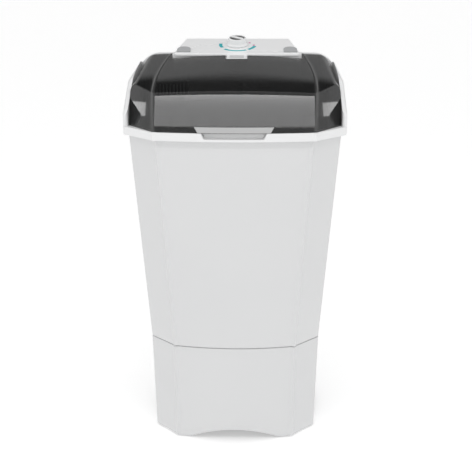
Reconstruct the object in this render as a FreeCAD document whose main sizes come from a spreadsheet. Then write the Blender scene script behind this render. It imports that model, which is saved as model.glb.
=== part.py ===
import FreeCAD, Part
import os
import re
from collections import namedtuple

import Sketcher

# A semi-automatic washing machine: a tapered plastic tub on a base skirt, with a see-through lid,
# a slanted timer panel and a belt-driven impeller.
# Millimetres. +Z is up, -Y is the front, and the origin is on the floor below the middle of the machine.

# Driving dimensions
SIZES = {
    # Body plan, taken at its top and tapering down to the seam and the foot
    "top_half_width": 257.0,
    "tub_taper": 39.0,
    "skirt_taper": 6.5,
    "top_corner": 73.0,
    "seam_corner": 66.0,
    "foot_corner": 62.0,
    "seam_z": 262.0,
    "tub_height": 538.0,
    "front_bow": 18.0,
    "bead_width": 14.0,
    "bead_height": 4.5,
    # Base skirt and feet
    "skirt_wall": 4.0,
    "skirt_land": 10.0,
    "skirt_land_depth": 12.0,
    "seam_gap": 2.0,
    "arch_gap": 37.5,
    "arch_height": 28.0,
    "side_arch_step": 22.0,
    "foot_inset": 52.0,
    "foot_pad_radius": 20.0,
    "foot_pad_height": 4.0,
    "foot_socket_height": 18.0,
    # Wash tub
    "tub_wall": 4.0,
    "tub_floor_rise": 28.0,
    "tub_floor": 6.0,
    # Top housing
    "rim_overhang": 13.0,
    "rim_height": 20.0,
    "rim_lip": 6.0,
    "housing_wall": 3.0,
    "arm_setback": 99.0,
    "arm_front_top": 36.0,
    "arm_front_radius": 12.0,
    "arm_middle_share": 0.417,
    "arm_middle_top": 100.0,
    "arm_middle_radius": 10.0,
    "deck_depth": 171.0,
    "deck_rise": 152.0,
    "deck_fall": 22.0,
    "deck_radius": 64.0,
    "well_depth": 44.0,
    "console_inset": 98.0,
    "splash_height": 80.0,
    "splash_inset": 12.0,
    "compartment_floor": 12.0,
    "hatch_gap": 12.0,
    "hatch_length": 98.0,
    "hatch_inset": 52.0,
    "scoop_half_width": 75.0,
    "scoop_slope": 7.0,
    "scoop_height": 14.0,
    "scoop_depth": 14.0,
    # Lid
    "lid_wall": 3.0,
    "lid_clearance": 1.0,
    "lid_rest_gap": 0.4,
    "lid_front_setback": 2.0,
    "lid_crease_inset": 65.5,
    "lid_corner_run": 94.0,
    "lid_lean": 0.54,
    "lid_fold_setback": 47.0,
    "lid_fold_rise": 90.0,
    "lid_back_gap": 6.0,
    "lid_crown": 9.0,
    "lid_cheek_front": 60.5,
    "lid_cheek_back": 80.5,
    "lid_shoulder_front": 8.0,
    "lid_shoulder_back": 47.0,
    "lid_shoulder_turn": 70.0,
    "lid_shoulder_fall": 2.0,
    "lid_notch_gap": 11.5,
    "lid_notch_side": 2.0,
    "lid_side_rise": 60.0,
    "tongue_gap": 3.0,
    "ear_thickness": 8.0,
    "ear_half_length": 10.0,
    "ear_gap": 5.0,
    "hinge_setback": 17.0,
    "hinge_drop": 22.0,
    "hinge_pin_radius": 4.0,
    "hinge_pin_grip": 12.0,
    "hinge_pin_end": 1.0,
    "running_gap": 0.05,
    # Lid handle
    "handle_top_half": 93.0,
    "handle_low_half": 85.0,
    "handle_height": 13.0,
    "handle_proud": 1.6,
    "handle_depth": 7.0,
    # Control panel
    "panel_overlap": 3.0,
    "panel_drop": 6.0,
    "panel_slope": 14.0,
    "panel_length": 128.0,
    "panel_side_gap": 1.0,
    "panel_taper": 29.0,
    "panel_plate": 5.0,
    "panel_wall": 4.0,
    "panel_skirt": 10.0,
    "tongue_half_width": 27.0,
    "tongue_depth": 43.0,
    "tongue_thickness": 8.0,
    "tongue_low": 20.0,
    "cover_inset": 28.0,
    "cover_half_width": 18.0,
    "cover_length": 39.0,
    "cover_height": 3.0,
    "cover_front": 12.0,
    # Timer and knob
    "knob_along": 74.0,
    "knob_radius": 29.0,
    "knob_waist": 25.0,
    "knob_height": 20.0,
    "knob_skirt": 5.0,
    "knob_gap": 0.5,
    "knob_recess_radius": 20.0,
    "knob_recess": 3.0,
    "knob_insert": 1.2,
    "grip_width": 9.0,
    "grip_height": 3.4,
    "grip_turn": 145.0,
    "timer_shaft_radius": 3.0,
    "timer_shaft_grip": 12.0,
    "timer_length": 58.0,
    "timer_width": 50.0,
    "timer_depth": 36.0,
    "timer_screw_reach": 18.0,
    "timer_screw_radius": 2.0,
    "timer_screw_head": 3.6,
    "timer_screw_sink": 1.8,
    # Drive
    "shaft_radius": 7.0,
    "shaft_drop": 12.0,
    "impeller_radius": 150.0,
    "impeller_gap": 6.0,
    "impeller_rim": 5.0,
    "impeller_crown": 24.0,
    "hub_radius": 32.0,
    "fin_count": 6.0,
    "fin_width": 12.0,
    "fin_height": 14.0,
    "fin_reach": 132.0,
    "cap_radius": 22.0,
    "cap_height": 7.0,
    "screw_radius": 3.0,
    "screw_length": 16.0,
    "screw_head_radius": 9.0,
    "screw_head": 4.0,
    "boss_radius": 17.0,
    "boss_rise": 3.0,
    "flange_radius": 46.0,
    "flange_thickness": 6.0,
    "tube_radius": 19.0,
    "tube_bore": 12.0,
    "bush_length": 18.0,
    "seal_height": 5.0,
    "flange_screw_circle": 34.0,
    "flange_screw_radius": 2.5,
    "flange_screw_head": 5.0,
    "flange_screw_head_height": 3.5,
    "pulley_gap": 17.0,
    "pulley_drop": 38.0,
    "pulley_width": 16.0,
    "pulley_web": 5.0,
    "pulley_rim": 12.0,
    "pulley_hub": 18.0,
    "nut_height": 6.0,
    "nut_flat": 11.0,
    "belt_width": 9.0,
    "belt_height": 6.0,
    "belt_gap": 0.3,
    "motor_back_room": 86.0,
    "motor_pulley_radius": 23.0,
    "motor_shaft_radius": 6.0,
    "plate_drop": 106.0,
    "plate_thickness": 4.0,
    "plate_half_width": 82.0,
    "plate_front": 70.0,
    "plate_back": 72.0,
    "post_radius": 8.0,
    "post_inset": 14.0,
    "bolt_radius": 3.0,
    "bolt_head_radius": 6.0,
    "bolt_head": 4.0,
    "bolt_grip": 20.0,
    "motor_radius": 58.0,
    "motor_height": 86.0,
    "motor_cap": 14.0,
    "motor_cap_step": 6.0,
    "motor_bolt_circle": 44.0,
    "motor_shaft_up": 40.0,
    "capacitor_x": 58.0,
    "capacitor_y": 40.0,
    "capacitor_radius": 20.0,
    "capacitor_height": 70.0,
    "strap_thickness": 1.5,
    "strap_height": 12.0,
    "strap_up": 30.0,
    # Drain and cable inlets
    "drain_side": 98.0,
    "drain_back": 77.0,
    "drain_bore": 12.0,
    "drain_wall": 3.0,
    "drain_flange_radius": 25.0,
    "drain_drop": 46.0,
    "drain_reach": 104.0,
    "drain_rise": 4.0,
    "strainer_radius": 20.0,
    "strainer_height": 3.0,
    "strainer_holes": 6.0,
    "strainer_hole": 2.5,
    "strainer_circle": 8.0,
    "gland_side": 108.0,
    "gland_drop": 72.0,
    "gland_radius": 9.0,
    "gland_bore": 4.0,
    "gland_flange": 14.0,
    "gland_flange_height": 4.0,
    "gland_reach": 14.0,
    "gland_nose": 6.0,
    "gland_seat": 0.5,
    # Lint filter
    "filter_side_gap": 32.5,
    "filter_width": 92.0,
    "filter_height": 70.0,
    "filter_thickness": 10.0,
    "filter_rim": 7.0,
    "filter_slots": 9.0,
    "filter_slot": 4.5,
    "filter_slot_height": 26.0,
    "filter_mesh": 1.0,
    "guide_wall": 3.0,
    "guide_gap": 0.3,
    "guide_height": 40.0,
}

# Sizes worked out from the driving ones and from those above them here
DERIVED = {
    # Body
    "axis_y": "front_bow / 2",
    "seam_half_width": "top_half_width - tub_taper",
    "foot_half_width": "seam_half_width - skirt_taper",
    "body_top_z": "seam_z + tub_height",
    "rim_half_width": "top_half_width + rim_overhang",
    "rim_corner": "top_corner + rim_overhang * (2 - sqrt(2))",
    "rim_top_z": "body_top_z + rim_height",
    "rim_front_y": "axis_y - rim_half_width - front_bow",
    "rim_back_y": "axis_y + rim_half_width",
    "skirt_top_z": "seam_z - seam_gap",
    "foot_x": "foot_half_width - foot_inset",
    "foot_socket_radius": "(2 * foot_inset - foot_corner) / sqrt(2) - skirt_wall / 2",
    "arch_half_width": "foot_x - arch_gap",
    "side_arch_half_width": "arch_half_width - side_arch_step",
    "tub_floor_z": "seam_z + tub_floor_rise",
    "floor_low_z": "tub_floor_z - tub_floor",
    "floor_share": "(tub_floor_z - seam_z) / (body_top_z - seam_z)",
    "floor_half_width": "seam_half_width + (top_half_width - seam_half_width) * floor_share",
    "floor_corner": "seam_corner + (top_corner - seam_corner) * floor_share",
    # Top housing and panel
    "arm_front_y": "rim_front_y + arm_setback",
    "deck_front_y": "rim_back_y - deck_depth",
    "arm_middle_y": "arm_front_y + (deck_front_y - arm_front_y) * arm_middle_share",
    "deck_front_z": "rim_top_z + deck_rise",
    "deck_back_z": "deck_front_z - deck_fall",
    "well_back_y": "deck_front_y + well_depth",
    "well_half_width": "rim_half_width - rim_overhang + lid_clearance / 2",
    "console_half_width": "rim_half_width - console_inset",
    "hatch_front_y": "deck_front_y + hatch_gap",
    "hatch_back_y": "hatch_front_y + hatch_length",
    "hatch_half_width": "console_half_width - hatch_inset",
    "panel_front_y": "deck_front_y - panel_overlap",
    "panel_front_z": "deck_front_z - panel_drop",
    "panel_front_half": "console_half_width - panel_side_gap",
    "panel_back_half": "panel_front_half - panel_taper",
    "panel_low_z": "panel_front_z - panel_skirt",
    "panel_run": "panel_length * cos(panel_slope)",
    "panel_low_front_z": "panel_front_z - panel_plate / cos(panel_slope)",
    "cover_x": "panel_front_half - cover_inset",
    # Lid
    "lid_half_width": "well_half_width - lid_clearance",
    "lid_low_z": "rim_top_z + lid_rest_gap",
    "lid_front_y": "axis_y - rim_half_width + lid_front_setback",
    "lid_start_y": "lid_front_y - 2 * front_bow",
    "lid_crease_x": "lid_half_width - lid_crease_inset",
    "lid_crease_front": "lid_half_width - lid_cheek_front",
    "lid_crease_back": "lid_half_width - lid_cheek_back",
    "lid_fold_y": "rim_front_y + lid_fold_setback",
    "lid_fold_z": "rim_top_z + lid_fold_rise",
    "lid_back_y": "well_back_y - lid_back_gap",
    "lid_back_z": "deck_front_z",
    "lid_rise": "(lid_back_z - lid_fold_z) / (lid_back_y - lid_fold_y)",
    "tongue_front_y": "panel_front_y - tongue_depth",
    "tongue_front_z": "lid_fold_z + lid_rise * (tongue_front_y - lid_fold_y)",
    "ear_x": "console_half_width + ear_gap",
    "lid_notch_y": "panel_front_y - lid_notch_gap",
    "lid_notch_half": "ear_x - lid_notch_side",
    "hinge_y": "deck_front_y + hinge_setback",
    "hinge_z": "deck_front_z - hinge_drop",
    # Drive
    "impeller_z": "tub_floor_z + impeller_gap",
    "impeller_top_z": "impeller_z + impeller_rim + impeller_crown",
    "plate_z": "floor_low_z - plate_drop",
    "plate_top_z": "plate_z + plate_thickness",
    "pulley_z": "plate_z - pulley_drop",
    "shaft_low_z": "pulley_z - shaft_drop",
    "motor_offset": "seam_half_width - motor_back_room",
    "motor_y": "axis_y + motor_offset",
    "pulley_radius": "motor_offset - motor_pulley_radius - pulley_gap",
    "belt_mid_z": "pulley_z + pulley_width / 2",
    "belt_sit": "belt_height / 2",
    # Filter and inlets
    "filter_left": "filter_side_gap - well_half_width",
    "filter_right": "filter_left + filter_width",
    "filter_back_y": "deck_front_y - guide_gap",
    "filter_low_z": "rim_top_z + guide_wall + guide_gap",
    "filter_top_z": "filter_low_z + filter_height",
    "drain_x": "drain_side - seam_half_width",
    "drain_y": "axis_y + seam_half_width - drain_back",
    "drain_out_z": "floor_low_z - drain_drop",
    "gland_x": "seam_half_width - gland_side",
    "gland_z": "seam_z - gland_drop",
    "gland_seat_y": "axis_y + foot_half_width + (seam_half_width - foot_half_width)"
                    " * (gland_z - foot_pad_height) / (skirt_top_z - foot_pad_height)",
}

# A point that an arc passes through, between the two corners it joins
Via = namedtuple("Via", "x y")

CUTTER = 400.0

doc = FreeCAD.newDocument("washing_machine")
sheet = doc.addObject("Spreadsheet::Sheet", "size")
finished = []


def fill_sheet():
    """Puts each dimension, and each one worked out from others, into a cell of its own under its name."""
    cells = {**SIZES, **DERIVED}
    for row, (name, content) in enumerate(cells.items(), 1):
        sheet.set(f"A{row}", name)
        sheet.setAlias(f"B{row}", name)
    for row, (name, content) in enumerate(cells.items(), 1):
        sheet.set(f"B{row}", f"={content}")
    doc.recompute()


def bind(expression):
    """Turns the size names in an expression into references to the sheet's cells."""
    def cell(match):
        word = match.group()
        return "size." + word if word in SIZES or word in DERIVED else word
    return re.sub(r"[a-z][a-z_0-9]*", cell, expression)


def number(expression):
    """Works out an expression's value from the sheet."""
    return float(sheet.evalExpression(bind(expression)))


def vector(*expressions):
    """Works out a point from an expression for each of its coordinates."""
    return FreeCAD.Vector(*[number(expression) for expression in expressions])


def minus(expression):
    """The same size with the other sign."""
    return expression if expression == "0" else f"-({expression})"


def drive(thing, **bindings):
    """Binds properties of a document object to expressions."""
    for name, expression in bindings.items():
        thing.setExpression(name, bind(expression))


def place(thing, x="0", y="0", z="0"):
    """Binds an object's position to expressions."""
    for axis, expression in zip("xyz", (x, y, z)):
        thing.setExpression(f".Placement.Base.{axis}", bind(expression))
    return thing


def turn(thing, axis, angle):
    """Binds an object's rotation about an axis to an angle in degrees."""
    thing.Placement = FreeCAD.Placement(FreeCAD.Vector(), FreeCAD.Rotation(FreeCAD.Vector(*axis), 1.0))
    thing.setExpression(".Placement.Rotation.Angle", f"({bind(angle)}) * 1 deg")
    return thing


def on_panel(thing, x="0", along="0", up="0"):
    """Stands an object on the slanted panel: along runs up the slope, and up is the panel's normal."""
    turn(thing, (1, 0, 0), "panel_slope")
    return place(thing, x,
                 f"panel_front_y + ({along}) * cos(panel_slope) - ({up}) * sin(panel_slope)",
                 f"panel_front_z + ({along}) * sin(panel_slope) + ({up}) * cos(panel_slope)")


def piece(thing, label):
    """Names a finished sub-part."""
    thing.Label = label
    finished.append(thing)
    return thing


# Sketch and feature helpers

def tie(sketch, edge, end, spot):
    """Holds one end of a sketch edge at a spot that is worked out from the sheet."""
    for kind, axis, expression in zip(("DistanceX", "DistanceY"), (-2, -1), spot):
        if expression == "0":
            sketch.addConstraint(Sketcher.Constraint("PointOnObject", edge, end, axis))
        else:
            row = sketch.addConstraint(Sketcher.Constraint(kind, -1, 1, edge, end, number(expression)))
            sketch.setExpression(f"Constraints[{row}]", bind(expression))


def add_edge(sketch, start, via, end):
    """Adds a line, or an arc through a Via, and gives its number with its start and end marks."""
    first, last = vector(*start), vector(*end)
    if via is None:
        return sketch.addGeometry(Part.LineSegment(first, last)), 1, 2
    middle = vector(*via)
    onward = (last - first).cross(middle - first).z < 0
    ends = (first, last) if onward else (last, first)
    edge = sketch.addGeometry(Part.Arc(ends[0], middle, ends[1]))
    point = sketch.addGeometry(Part.Point(middle), True)
    tie(sketch, point, 1, via)
    sketch.addConstraint(Sketcher.Constraint("PointOnObject", point, 1, edge))
    return (edge, 1, 2) if onward else (edge, 2, 1)


def draw_outline(sketch, items):
    """Draws a closed outline through corners, with an arc wherever a Via follows a corner."""
    corners = [item for item in items if not isinstance(item, Via)]
    vias = [None] * len(corners)
    seen = 0
    for item in items:
        if isinstance(item, Via):
            vias[seen - 1] = item
        else:
            seen += 1
    following = corners[1:] + corners[:1]
    edges = [add_edge(sketch, *span) for span in zip(corners, vias, following)]
    for (edge, _, end), (after, start, _) in zip(edges, edges[1:] + edges[:1]):
        sketch.addConstraint(Sketcher.Constraint("Coincident", edge, end, after, start))
    for (edge, start, _), corner in zip(edges, corners):
        tie(sketch, edge, start, corner)


def draw_circle(sketch, x, y, radius):
    """Draws a circle whose centre and radius follow the sheet."""
    edge = sketch.addGeometry(Part.Circle(vector(x, y, "0"), FreeCAD.Vector(0, 0, 1), number(radius)))
    row = sketch.addConstraint(Sketcher.Constraint("Radius", edge, number(radius)))
    sketch.setExpression(f"Constraints[{row}]", bind(radius))
    tie(sketch, edge, 3, (x, y))


def new_body(name):
    """Starts a solid that is built from sketches."""
    return doc.addObject("PartDesign::Body", name)


def new_sketch(body, role, off="0", slide="0"):
    """Starts a sketch on one of the body's own planes, moved off it along its normal, and slid along its Y."""
    sketch = body.newObject("Sketcher::SketchObject", "outline")
    plane = [feature for feature in body.Origin.OriginFeatures if feature.Role == role][0]
    sketch.AttachmentSupport = (plane, [""])
    sketch.MapMode = "FlatFace"
    sketch.setExpression(".AttachmentOffset.Base.z", bind(off))
    sketch.setExpression(".AttachmentOffset.Base.y", bind(slide))
    return sketch


def outline_at(body, role, items, off="0", slide="0"):
    """Draws one closed outline in a sketch of its own."""
    sketch = new_sketch(body, role, off, slide)
    draw_outline(sketch, items)
    return sketch


def circles_at(body, circles, off="0", role="XY_Plane"):
    """Draws circles, each given as x, y and radius, in a sketch of their own."""
    sketch = new_sketch(body, role, off)
    for circle in circles:
        draw_circle(sketch, *circle)
    return sketch


def feature(body, kind, sketch, length=None, turned=False):
    """Adds a sketched feature, such as a Pad or a Pocket, to a body."""
    made = body.newObject("PartDesign::" + kind, kind.lower())
    made.Profile = sketch
    if length is not None:
        drive(made, Length=length)
    made.Reversed = turned
    return made


def loft(body, kind, sections):
    """Adds or takes away a loft with straight rules between its sections."""
    made = body.newObject("PartDesign::" + kind, kind.lower())
    made.Profile = sections[0]
    made.Sections = sections[1:]
    made.Ruled = True
    return made


def revolve(body, items, kind="Revolution"):
    """Turns a half section, drawn as radius and height, a full turn about the body's Z axis."""
    sketch = outline_at(body, "XZ_Plane", items)
    made = body.newObject("PartDesign::" + kind, kind.lower())
    made.Profile = sketch
    made.ReferenceAxis = (sketch, ["V_Axis"])
    made.Angle = 360.0
    return made


def cylinder(radius, height, x="0", y="0", z="0", along="z"):
    """A cylinder from a point, along +X, +Y or +Z."""
    made = doc.addObject("Part::Cylinder", "cylinder")
    drive(made, Radius=radius, Height=height)
    if along == "x":
        made.Placement = FreeCAD.Placement(FreeCAD.Vector(), FreeCAD.Rotation(FreeCAD.Vector(0, 1, 0), 90))
    if along == "y":
        made.Placement = FreeCAD.Placement(FreeCAD.Vector(), FreeCAD.Rotation(FreeCAD.Vector(1, 0, 0), -90))
    return place(made, x, y, z)


def box(low, high):
    """A box between two corners."""
    made = doc.addObject("Part::Box", "box")
    spans = [f"({top}) - ({bottom})" for bottom, top in zip(low, high)]
    drive(made, Length=spans[0], Width=spans[1], Height=spans[2])
    return place(made, *low)


def cut(base, *tools):
    """The base with each tool taken away in turn."""
    for tool in tools:
        made = doc.addObject("Part::Cut", "cut")
        made.Base = base
        made.Tool = tool
        base = made
    return base


def fuse(*shapes):
    """The shapes joined into one solid."""
    made = doc.addObject("Part::MultiFuse", "fuse")
    made.Shapes = list(shapes)
    made.Refine = True
    return made


def common(*shapes):
    """What the shapes share."""
    made = doc.addObject("Part::MultiCommon", "common")
    made.Shapes = list(shapes)
    return made


def group(*shapes):
    """Separate solids that share one node."""
    made = doc.addObject("Part::Compound", "group")
    made.Links = list(shapes)
    return made


def mirrored(points):
    """A half outline, given from front to back on the right, carried round the left side."""
    left = [Via(minus(spot[0]), spot[1]) if isinstance(spot, Via) else (minus(spot[0]), spot[1])
            for spot in reversed(points)]
    return points + left


def oblong(left, right, low, high):
    """The four corners of a rectangle."""
    return [(left, low), (right, low), (right, high), (left, high)]


# Plan outlines of the body

def plan(half, corner, inset="0", bead=False):
    """The chamfered plan with its bowed front, and a rounded bead along each front corner if asked."""
    half = f"({half} - ({inset}))"
    corner = f"({corner} - ({inset}) * (2 - sqrt(2)))"
    front = f"(axis_y - {half})"
    crease = f"({half} - {corner})"
    right = [(crease, front)]
    if bead:
        right = [(f"{crease} - 0.6 * bead_width", front),
                 Via(f"{crease} - 0.1 * bead_width", f"{front} - bead_height"),
                 (f"{crease} + 0.4 * bead_width", f"{front} + 0.4 * bead_width")]
    right += [(half, f"{front} + {corner}"),
              (half, f"axis_y + {half} - {corner}"),
              (crease, f"axis_y + {half}")]
    return mirrored(right) + [Via("0", f"{front} - front_bow")]


def plan_at(body, z, half, corner, inset="0", bead=False):
    """A sketch of the plan at one height."""
    return outline_at(body, "XY_Plane", plan(half, corner, inset, bead), z)


# Base skirt and feet

def arch(half_width):
    """The arch between two feet, seen from outside."""
    return [(minus(half_width), "0"), Via("0", "arch_height"), (half_width, "0")]


def make_base_skirt():
    """A tapered shell that carries the tub on a land inside its top edge, with an arch in each side."""
    body = new_body("base_skirt")
    loft(body, "AdditiveLoft", [
        plan_at(body, "foot_pad_height", "foot_half_width", "foot_corner", bead=True),
        plan_at(body, "skirt_top_z", "seam_half_width", "seam_corner", bead=True)])
    feature(body, "Pad", plan_at(body, "skirt_top_z", "seam_half_width", "seam_corner", "skirt_wall"),
            "seam_gap")
    loft(body, "SubtractiveLoft", [
        plan_at(body, "foot_pad_height", "foot_half_width", "foot_corner", "skirt_wall"),
        plan_at(body, "seam_z - skirt_land_depth", "seam_half_width", "seam_corner", "skirt_wall")])
    feature(body, "Pocket",
            plan_at(body, "seam_z", "seam_half_width", "seam_corner", "skirt_wall + skirt_land"),
            "skirt_land_depth + seam_gap")
    sockets = [(x, f"axis_y + {y}", "foot_socket_radius")
               for x in ("foot_x", minus("foot_x")) for y in ("foot_x", minus("foot_x"))]
    feature(body, "Pad", circles_at(body, sockets, "foot_pad_height"), "foot_socket_height")
    feature(body, "Pocket", outline_at(body, "XZ_Plane", arch("arch_half_width"), f"{CUTTER}"),
            f"2 * {CUTTER}")
    side = [(f"axis_y + {spot[0]}" if spot[0] != "0" else "axis_y", spot[1])
            for spot in arch("side_arch_half_width")]
    side[1] = Via(*side[1])
    feature(body, "Pocket", outline_at(body, "YZ_Plane", side, f"{CUTTER}"), f"2 * {CUTTER}")
    inlets = [("drain_x", "drain_out_z", "drain_bore + drain_wall + guide_gap"),
              ("gland_x", "gland_z", "gland_radius")]
    feature(body, "Pocket", circles_at(body, inlets, f"-{CUTTER}", "XZ_Plane"),
            f"{CUTTER} - (axis_y + foot_half_width - 4 * skirt_wall)", turned=True)
    piece(body, "base_skirt")


def make_foot_pads():
    """Four round pads under the corner sockets, which the machine stands on."""
    for side, x in (("left", minus("foot_x")), ("right", "foot_x")):
        for end, y in (("front", "axis_y - foot_x"), ("back", "axis_y + foot_x")):
            pad = cylinder("foot_pad_radius", "foot_pad_height", x, y)
            piece(pad, f"foot_pad_{end}_{side}")


# Wash tub

def flange_screw_places():
    """The four screws round the bearing housing."""
    reach = "flange_screw_circle"
    return [(reach, "axis_y"), (minus(reach), "axis_y"),
            ("0", f"axis_y + {reach}"), ("0", f"axis_y - {reach}")]


def make_wash_tub():
    """The single-walled tapered tub, with a flat floor set above its bottom edge."""
    body = new_body("wash_tub")
    loft(body, "AdditiveLoft", [
        plan_at(body, "seam_z", "seam_half_width", "seam_corner", bead=True),
        plan_at(body, "body_top_z", "top_half_width", "top_corner", bead=True)])
    loft(body, "SubtractiveLoft", [
        plan_at(body, "tub_floor_z", "floor_half_width", "floor_corner", "tub_wall"),
        plan_at(body, "body_top_z", "top_half_width", "top_corner", "tub_wall")])
    feature(body, "Pocket",
            plan_at(body, "seam_z", "seam_half_width", "seam_corner", "skirt_wall + skirt_land"),
            "floor_low_z - seam_z", turned=True)
    holes = [("0", "axis_y", "boss_radius"), ("drain_x", "drain_y", "drain_bore + drain_wall")]
    holes += [(x, y, "flange_screw_radius") for x, y in flange_screw_places()]
    feature(body, "Pocket", circles_at(body, holes, "tub_floor_z"), "2 * tub_floor")
    piece(body, "wash_tub")


# Top housing

def arch_section(body, y, half, top, radius, low):
    """A section across the machine: upright sides, round shoulders and a flat top."""
    inset = f"({radius}) * (1 - sqrt(0.5))"
    right = [(half, low),
             (half, f"{top} - ({radius})"),
             Via(f"{half} - {inset}", f"{top} - {inset}"),
             (f"{half} - ({radius})", top)]
    return outline_at(body, "XZ_Plane", mirrored(right), minus(y))


def shoulders(name, inset, front_y, low):
    """The housing's arched form from the arms back to its rear wall, or the same set in by a wall."""
    body = new_body(name)
    half = f"(rim_half_width - ({inset}))"
    stations = [(front_y, "deck_front_z", "deck_radius"), ("rim_back_y", "deck_back_z", "deck_radius")]
    if inset == "0":
        stations = [("arm_front_y", "(rim_top_z + arm_front_top)", "arm_front_radius"),
                    ("arm_middle_y", "(rim_top_z + arm_middle_top)", "arm_middle_radius")] + stations
    loft(body, "AdditiveLoft", [
        arch_section(body, y, half, f"({top} - ({inset}))", f"({radius} - ({inset}))", low)
        for y, top, radius in stations])
    return body


def plan_prism(name, z, height, half, corner, inset="0", bead=False):
    """The plan carried straight up."""
    body = new_body(name)
    feature(body, "Pad", plan_at(body, z, half, corner, inset, bead), height)
    return body


def panel_slab(half_width, along_low, along_high, low, high):
    """A block in the panel's slanted frame."""
    made = doc.addObject("Part::Box", "slab")
    drive(made, Length=f"2 * ({half_width})", Width=f"({along_high}) - ({along_low})",
          Height=f"({high}) - ({low})")
    return on_panel(made, minus(half_width), along_low, low)


def make_mouth():
    """The opening of the rim over the tub, in front of the control compartment."""
    body = new_body("mouth")
    inset = "(tub_wall + rim_lip)"
    half = f"(top_half_width - {inset})"
    corner = f"(top_corner - {inset} * (2 - sqrt(2)))"
    front = f"(axis_y - {half})"
    right = [(f"{half} - {corner}", front), (half, f"{front} + {corner}"), (half, "deck_front_y")]
    sketch = outline_at(body, "XY_Plane", mirrored(right) + [Via("0", f"{front} - front_bow")],
                        "body_top_z")
    feature(body, "Pad", sketch, "rim_height")
    return body


def make_scoop():
    """The finger recess in the rim's front, below the lid's handle."""
    body = new_body("scoop")
    right = [("scoop_half_width - scoop_slope", "rim_top_z - scoop_height"),
             ("scoop_half_width", "rim_top_z")]
    sketch = outline_at(body, "XZ_Plane", mirrored(right), minus("rim_front_y"))
    feature(body, "Pad", sketch, "scoop_depth", turned=True)
    return body


def make_compartment():
    """The hollow behind the lid that holds the timer."""
    low = "body_top_z + compartment_floor"
    hollow = common(shoulders("hollow", "housing_wall", "deck_front_y + housing_wall", low),
                    plan_prism("hollow_plan", low, f"{CUTTER}", "rim_half_width", "rim_corner",
                               "housing_wall"))
    keep = "console_half_width - housing_wall"
    back = "well_back_y + housing_wall"
    sides = [box((keep, "0", low), (f"{CUTTER}", back, f"{low} + {CUTTER}")),
             box((f"-{CUTTER}", "0", low), (minus(keep), back, f"{low} + {CUTTER}"))]
    return cut(hollow, *sides)


def make_deck():
    """The housing's arched form, cut down to the panel's underside in the middle."""
    arched = common(shoulders("arms_and_deck", "0", "deck_front_y", "body_top_z"),
                    plan_prism("arched_plan", "body_top_z", f"{CUTTER}", "rim_half_width", "rim_corner"))
    seat = panel_slab("console_half_width", minus("panel_length"), "3 * panel_length",
                      minus("panel_plate"), f"{CUTTER}")
    return cut(arched, seat)


def make_top_housing(deck):
    """The rim, its two rising arms and the control compartment, in one moulding."""
    rim = plan_prism("rim", "body_top_z", "rim_height", "rim_half_width", "rim_corner", bead=True)
    up = f"body_top_z + {CUTTER}"
    middle_well = box((minus("console_half_width"), f"-{CUTTER}", "rim_top_z"),
                      ("console_half_width", "deck_front_y", up))
    right_well = box(("console_half_width", f"-{CUTTER}", "rim_top_z"),
                     ("well_half_width", "well_back_y", up))
    left_well = box((minus("well_half_width"), f"-{CUTTER}", "rim_top_z"),
                    (minus("console_half_width"), "well_back_y", up))
    hatch = box((minus("hatch_half_width"), "hatch_front_y", "body_top_z + 2 * compartment_floor"),
                ("hatch_half_width", "hatch_back_y", up))
    pin_hole = cylinder("hinge_pin_radius", f"2 * {CUTTER}", f"-{CUTTER}", "hinge_y", "hinge_z", "x")
    pin_span = box((minus("ear_x"), "0", "hinge_z - 2 * hinge_pin_radius"),
                   ("ear_x", "well_back_y", "hinge_z + 2 * hinge_pin_radius"))
    moulding = cut(fuse(rim, deck), middle_well, right_well, left_well, make_mouth(),
                   make_compartment(), hatch, common(pin_hole, pin_span), make_scoop())
    splash_half = "well_half_width - splash_inset"
    splash = box((minus(splash_half), "deck_front_y", "rim_top_z"),
                 (splash_half, "deck_front_y + housing_wall", "rim_top_z + splash_height"))
    piece(fuse(moulding, splash), "top_housing")


# Control panel

def panel_cylinder(radius, height, x, along, up):
    """A cylinder that stands on the panel's slope."""
    made = doc.addObject("Part::Cylinder", "cylinder")
    drive(made, Radius=radius, Height=height)
    return on_panel(made, x, along, up)


def wedge(name, inset, top):
    """The panel's tapering plan, carried up to a plane that is parallel to the panel."""
    body = new_body(name)
    right = [(f"panel_front_half - {inset}", f"panel_front_y + {inset}"),
             (f"panel_back_half - {inset}", f"panel_front_y + panel_run - {inset}")]
    feature(body, "Pad", outline_at(body, "XY_Plane", mirrored(right), "panel_low_z"), f"{CUTTER}")
    return common(body, panel_slab("panel_front_half", minus("panel_length"), "2 * panel_length",
                                   f"-{CUTTER}", top))


def timer_screw_sides():
    """The timer's two screws, each side of its shaft."""
    return [minus("timer_screw_reach"), "timer_screw_reach"]


def make_tongue():
    """The tongue at the panel's front edge, which lies in the lid's notch and keeps on its slope."""
    body = new_body("tongue")
    items = [("tongue_front_y", "tongue_front_z - tongue_thickness"),
             ("deck_front_y", "panel_front_z - tongue_low"),
             ("deck_front_y", "panel_low_front_z + panel_plate / 2"),
             ("tongue_front_y", "tongue_front_z")]
    sketch = outline_at(body, "YZ_Plane", items, minus("tongue_half_width"))
    feature(body, "Pad", sketch, "2 * tongue_half_width")
    return body


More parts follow.
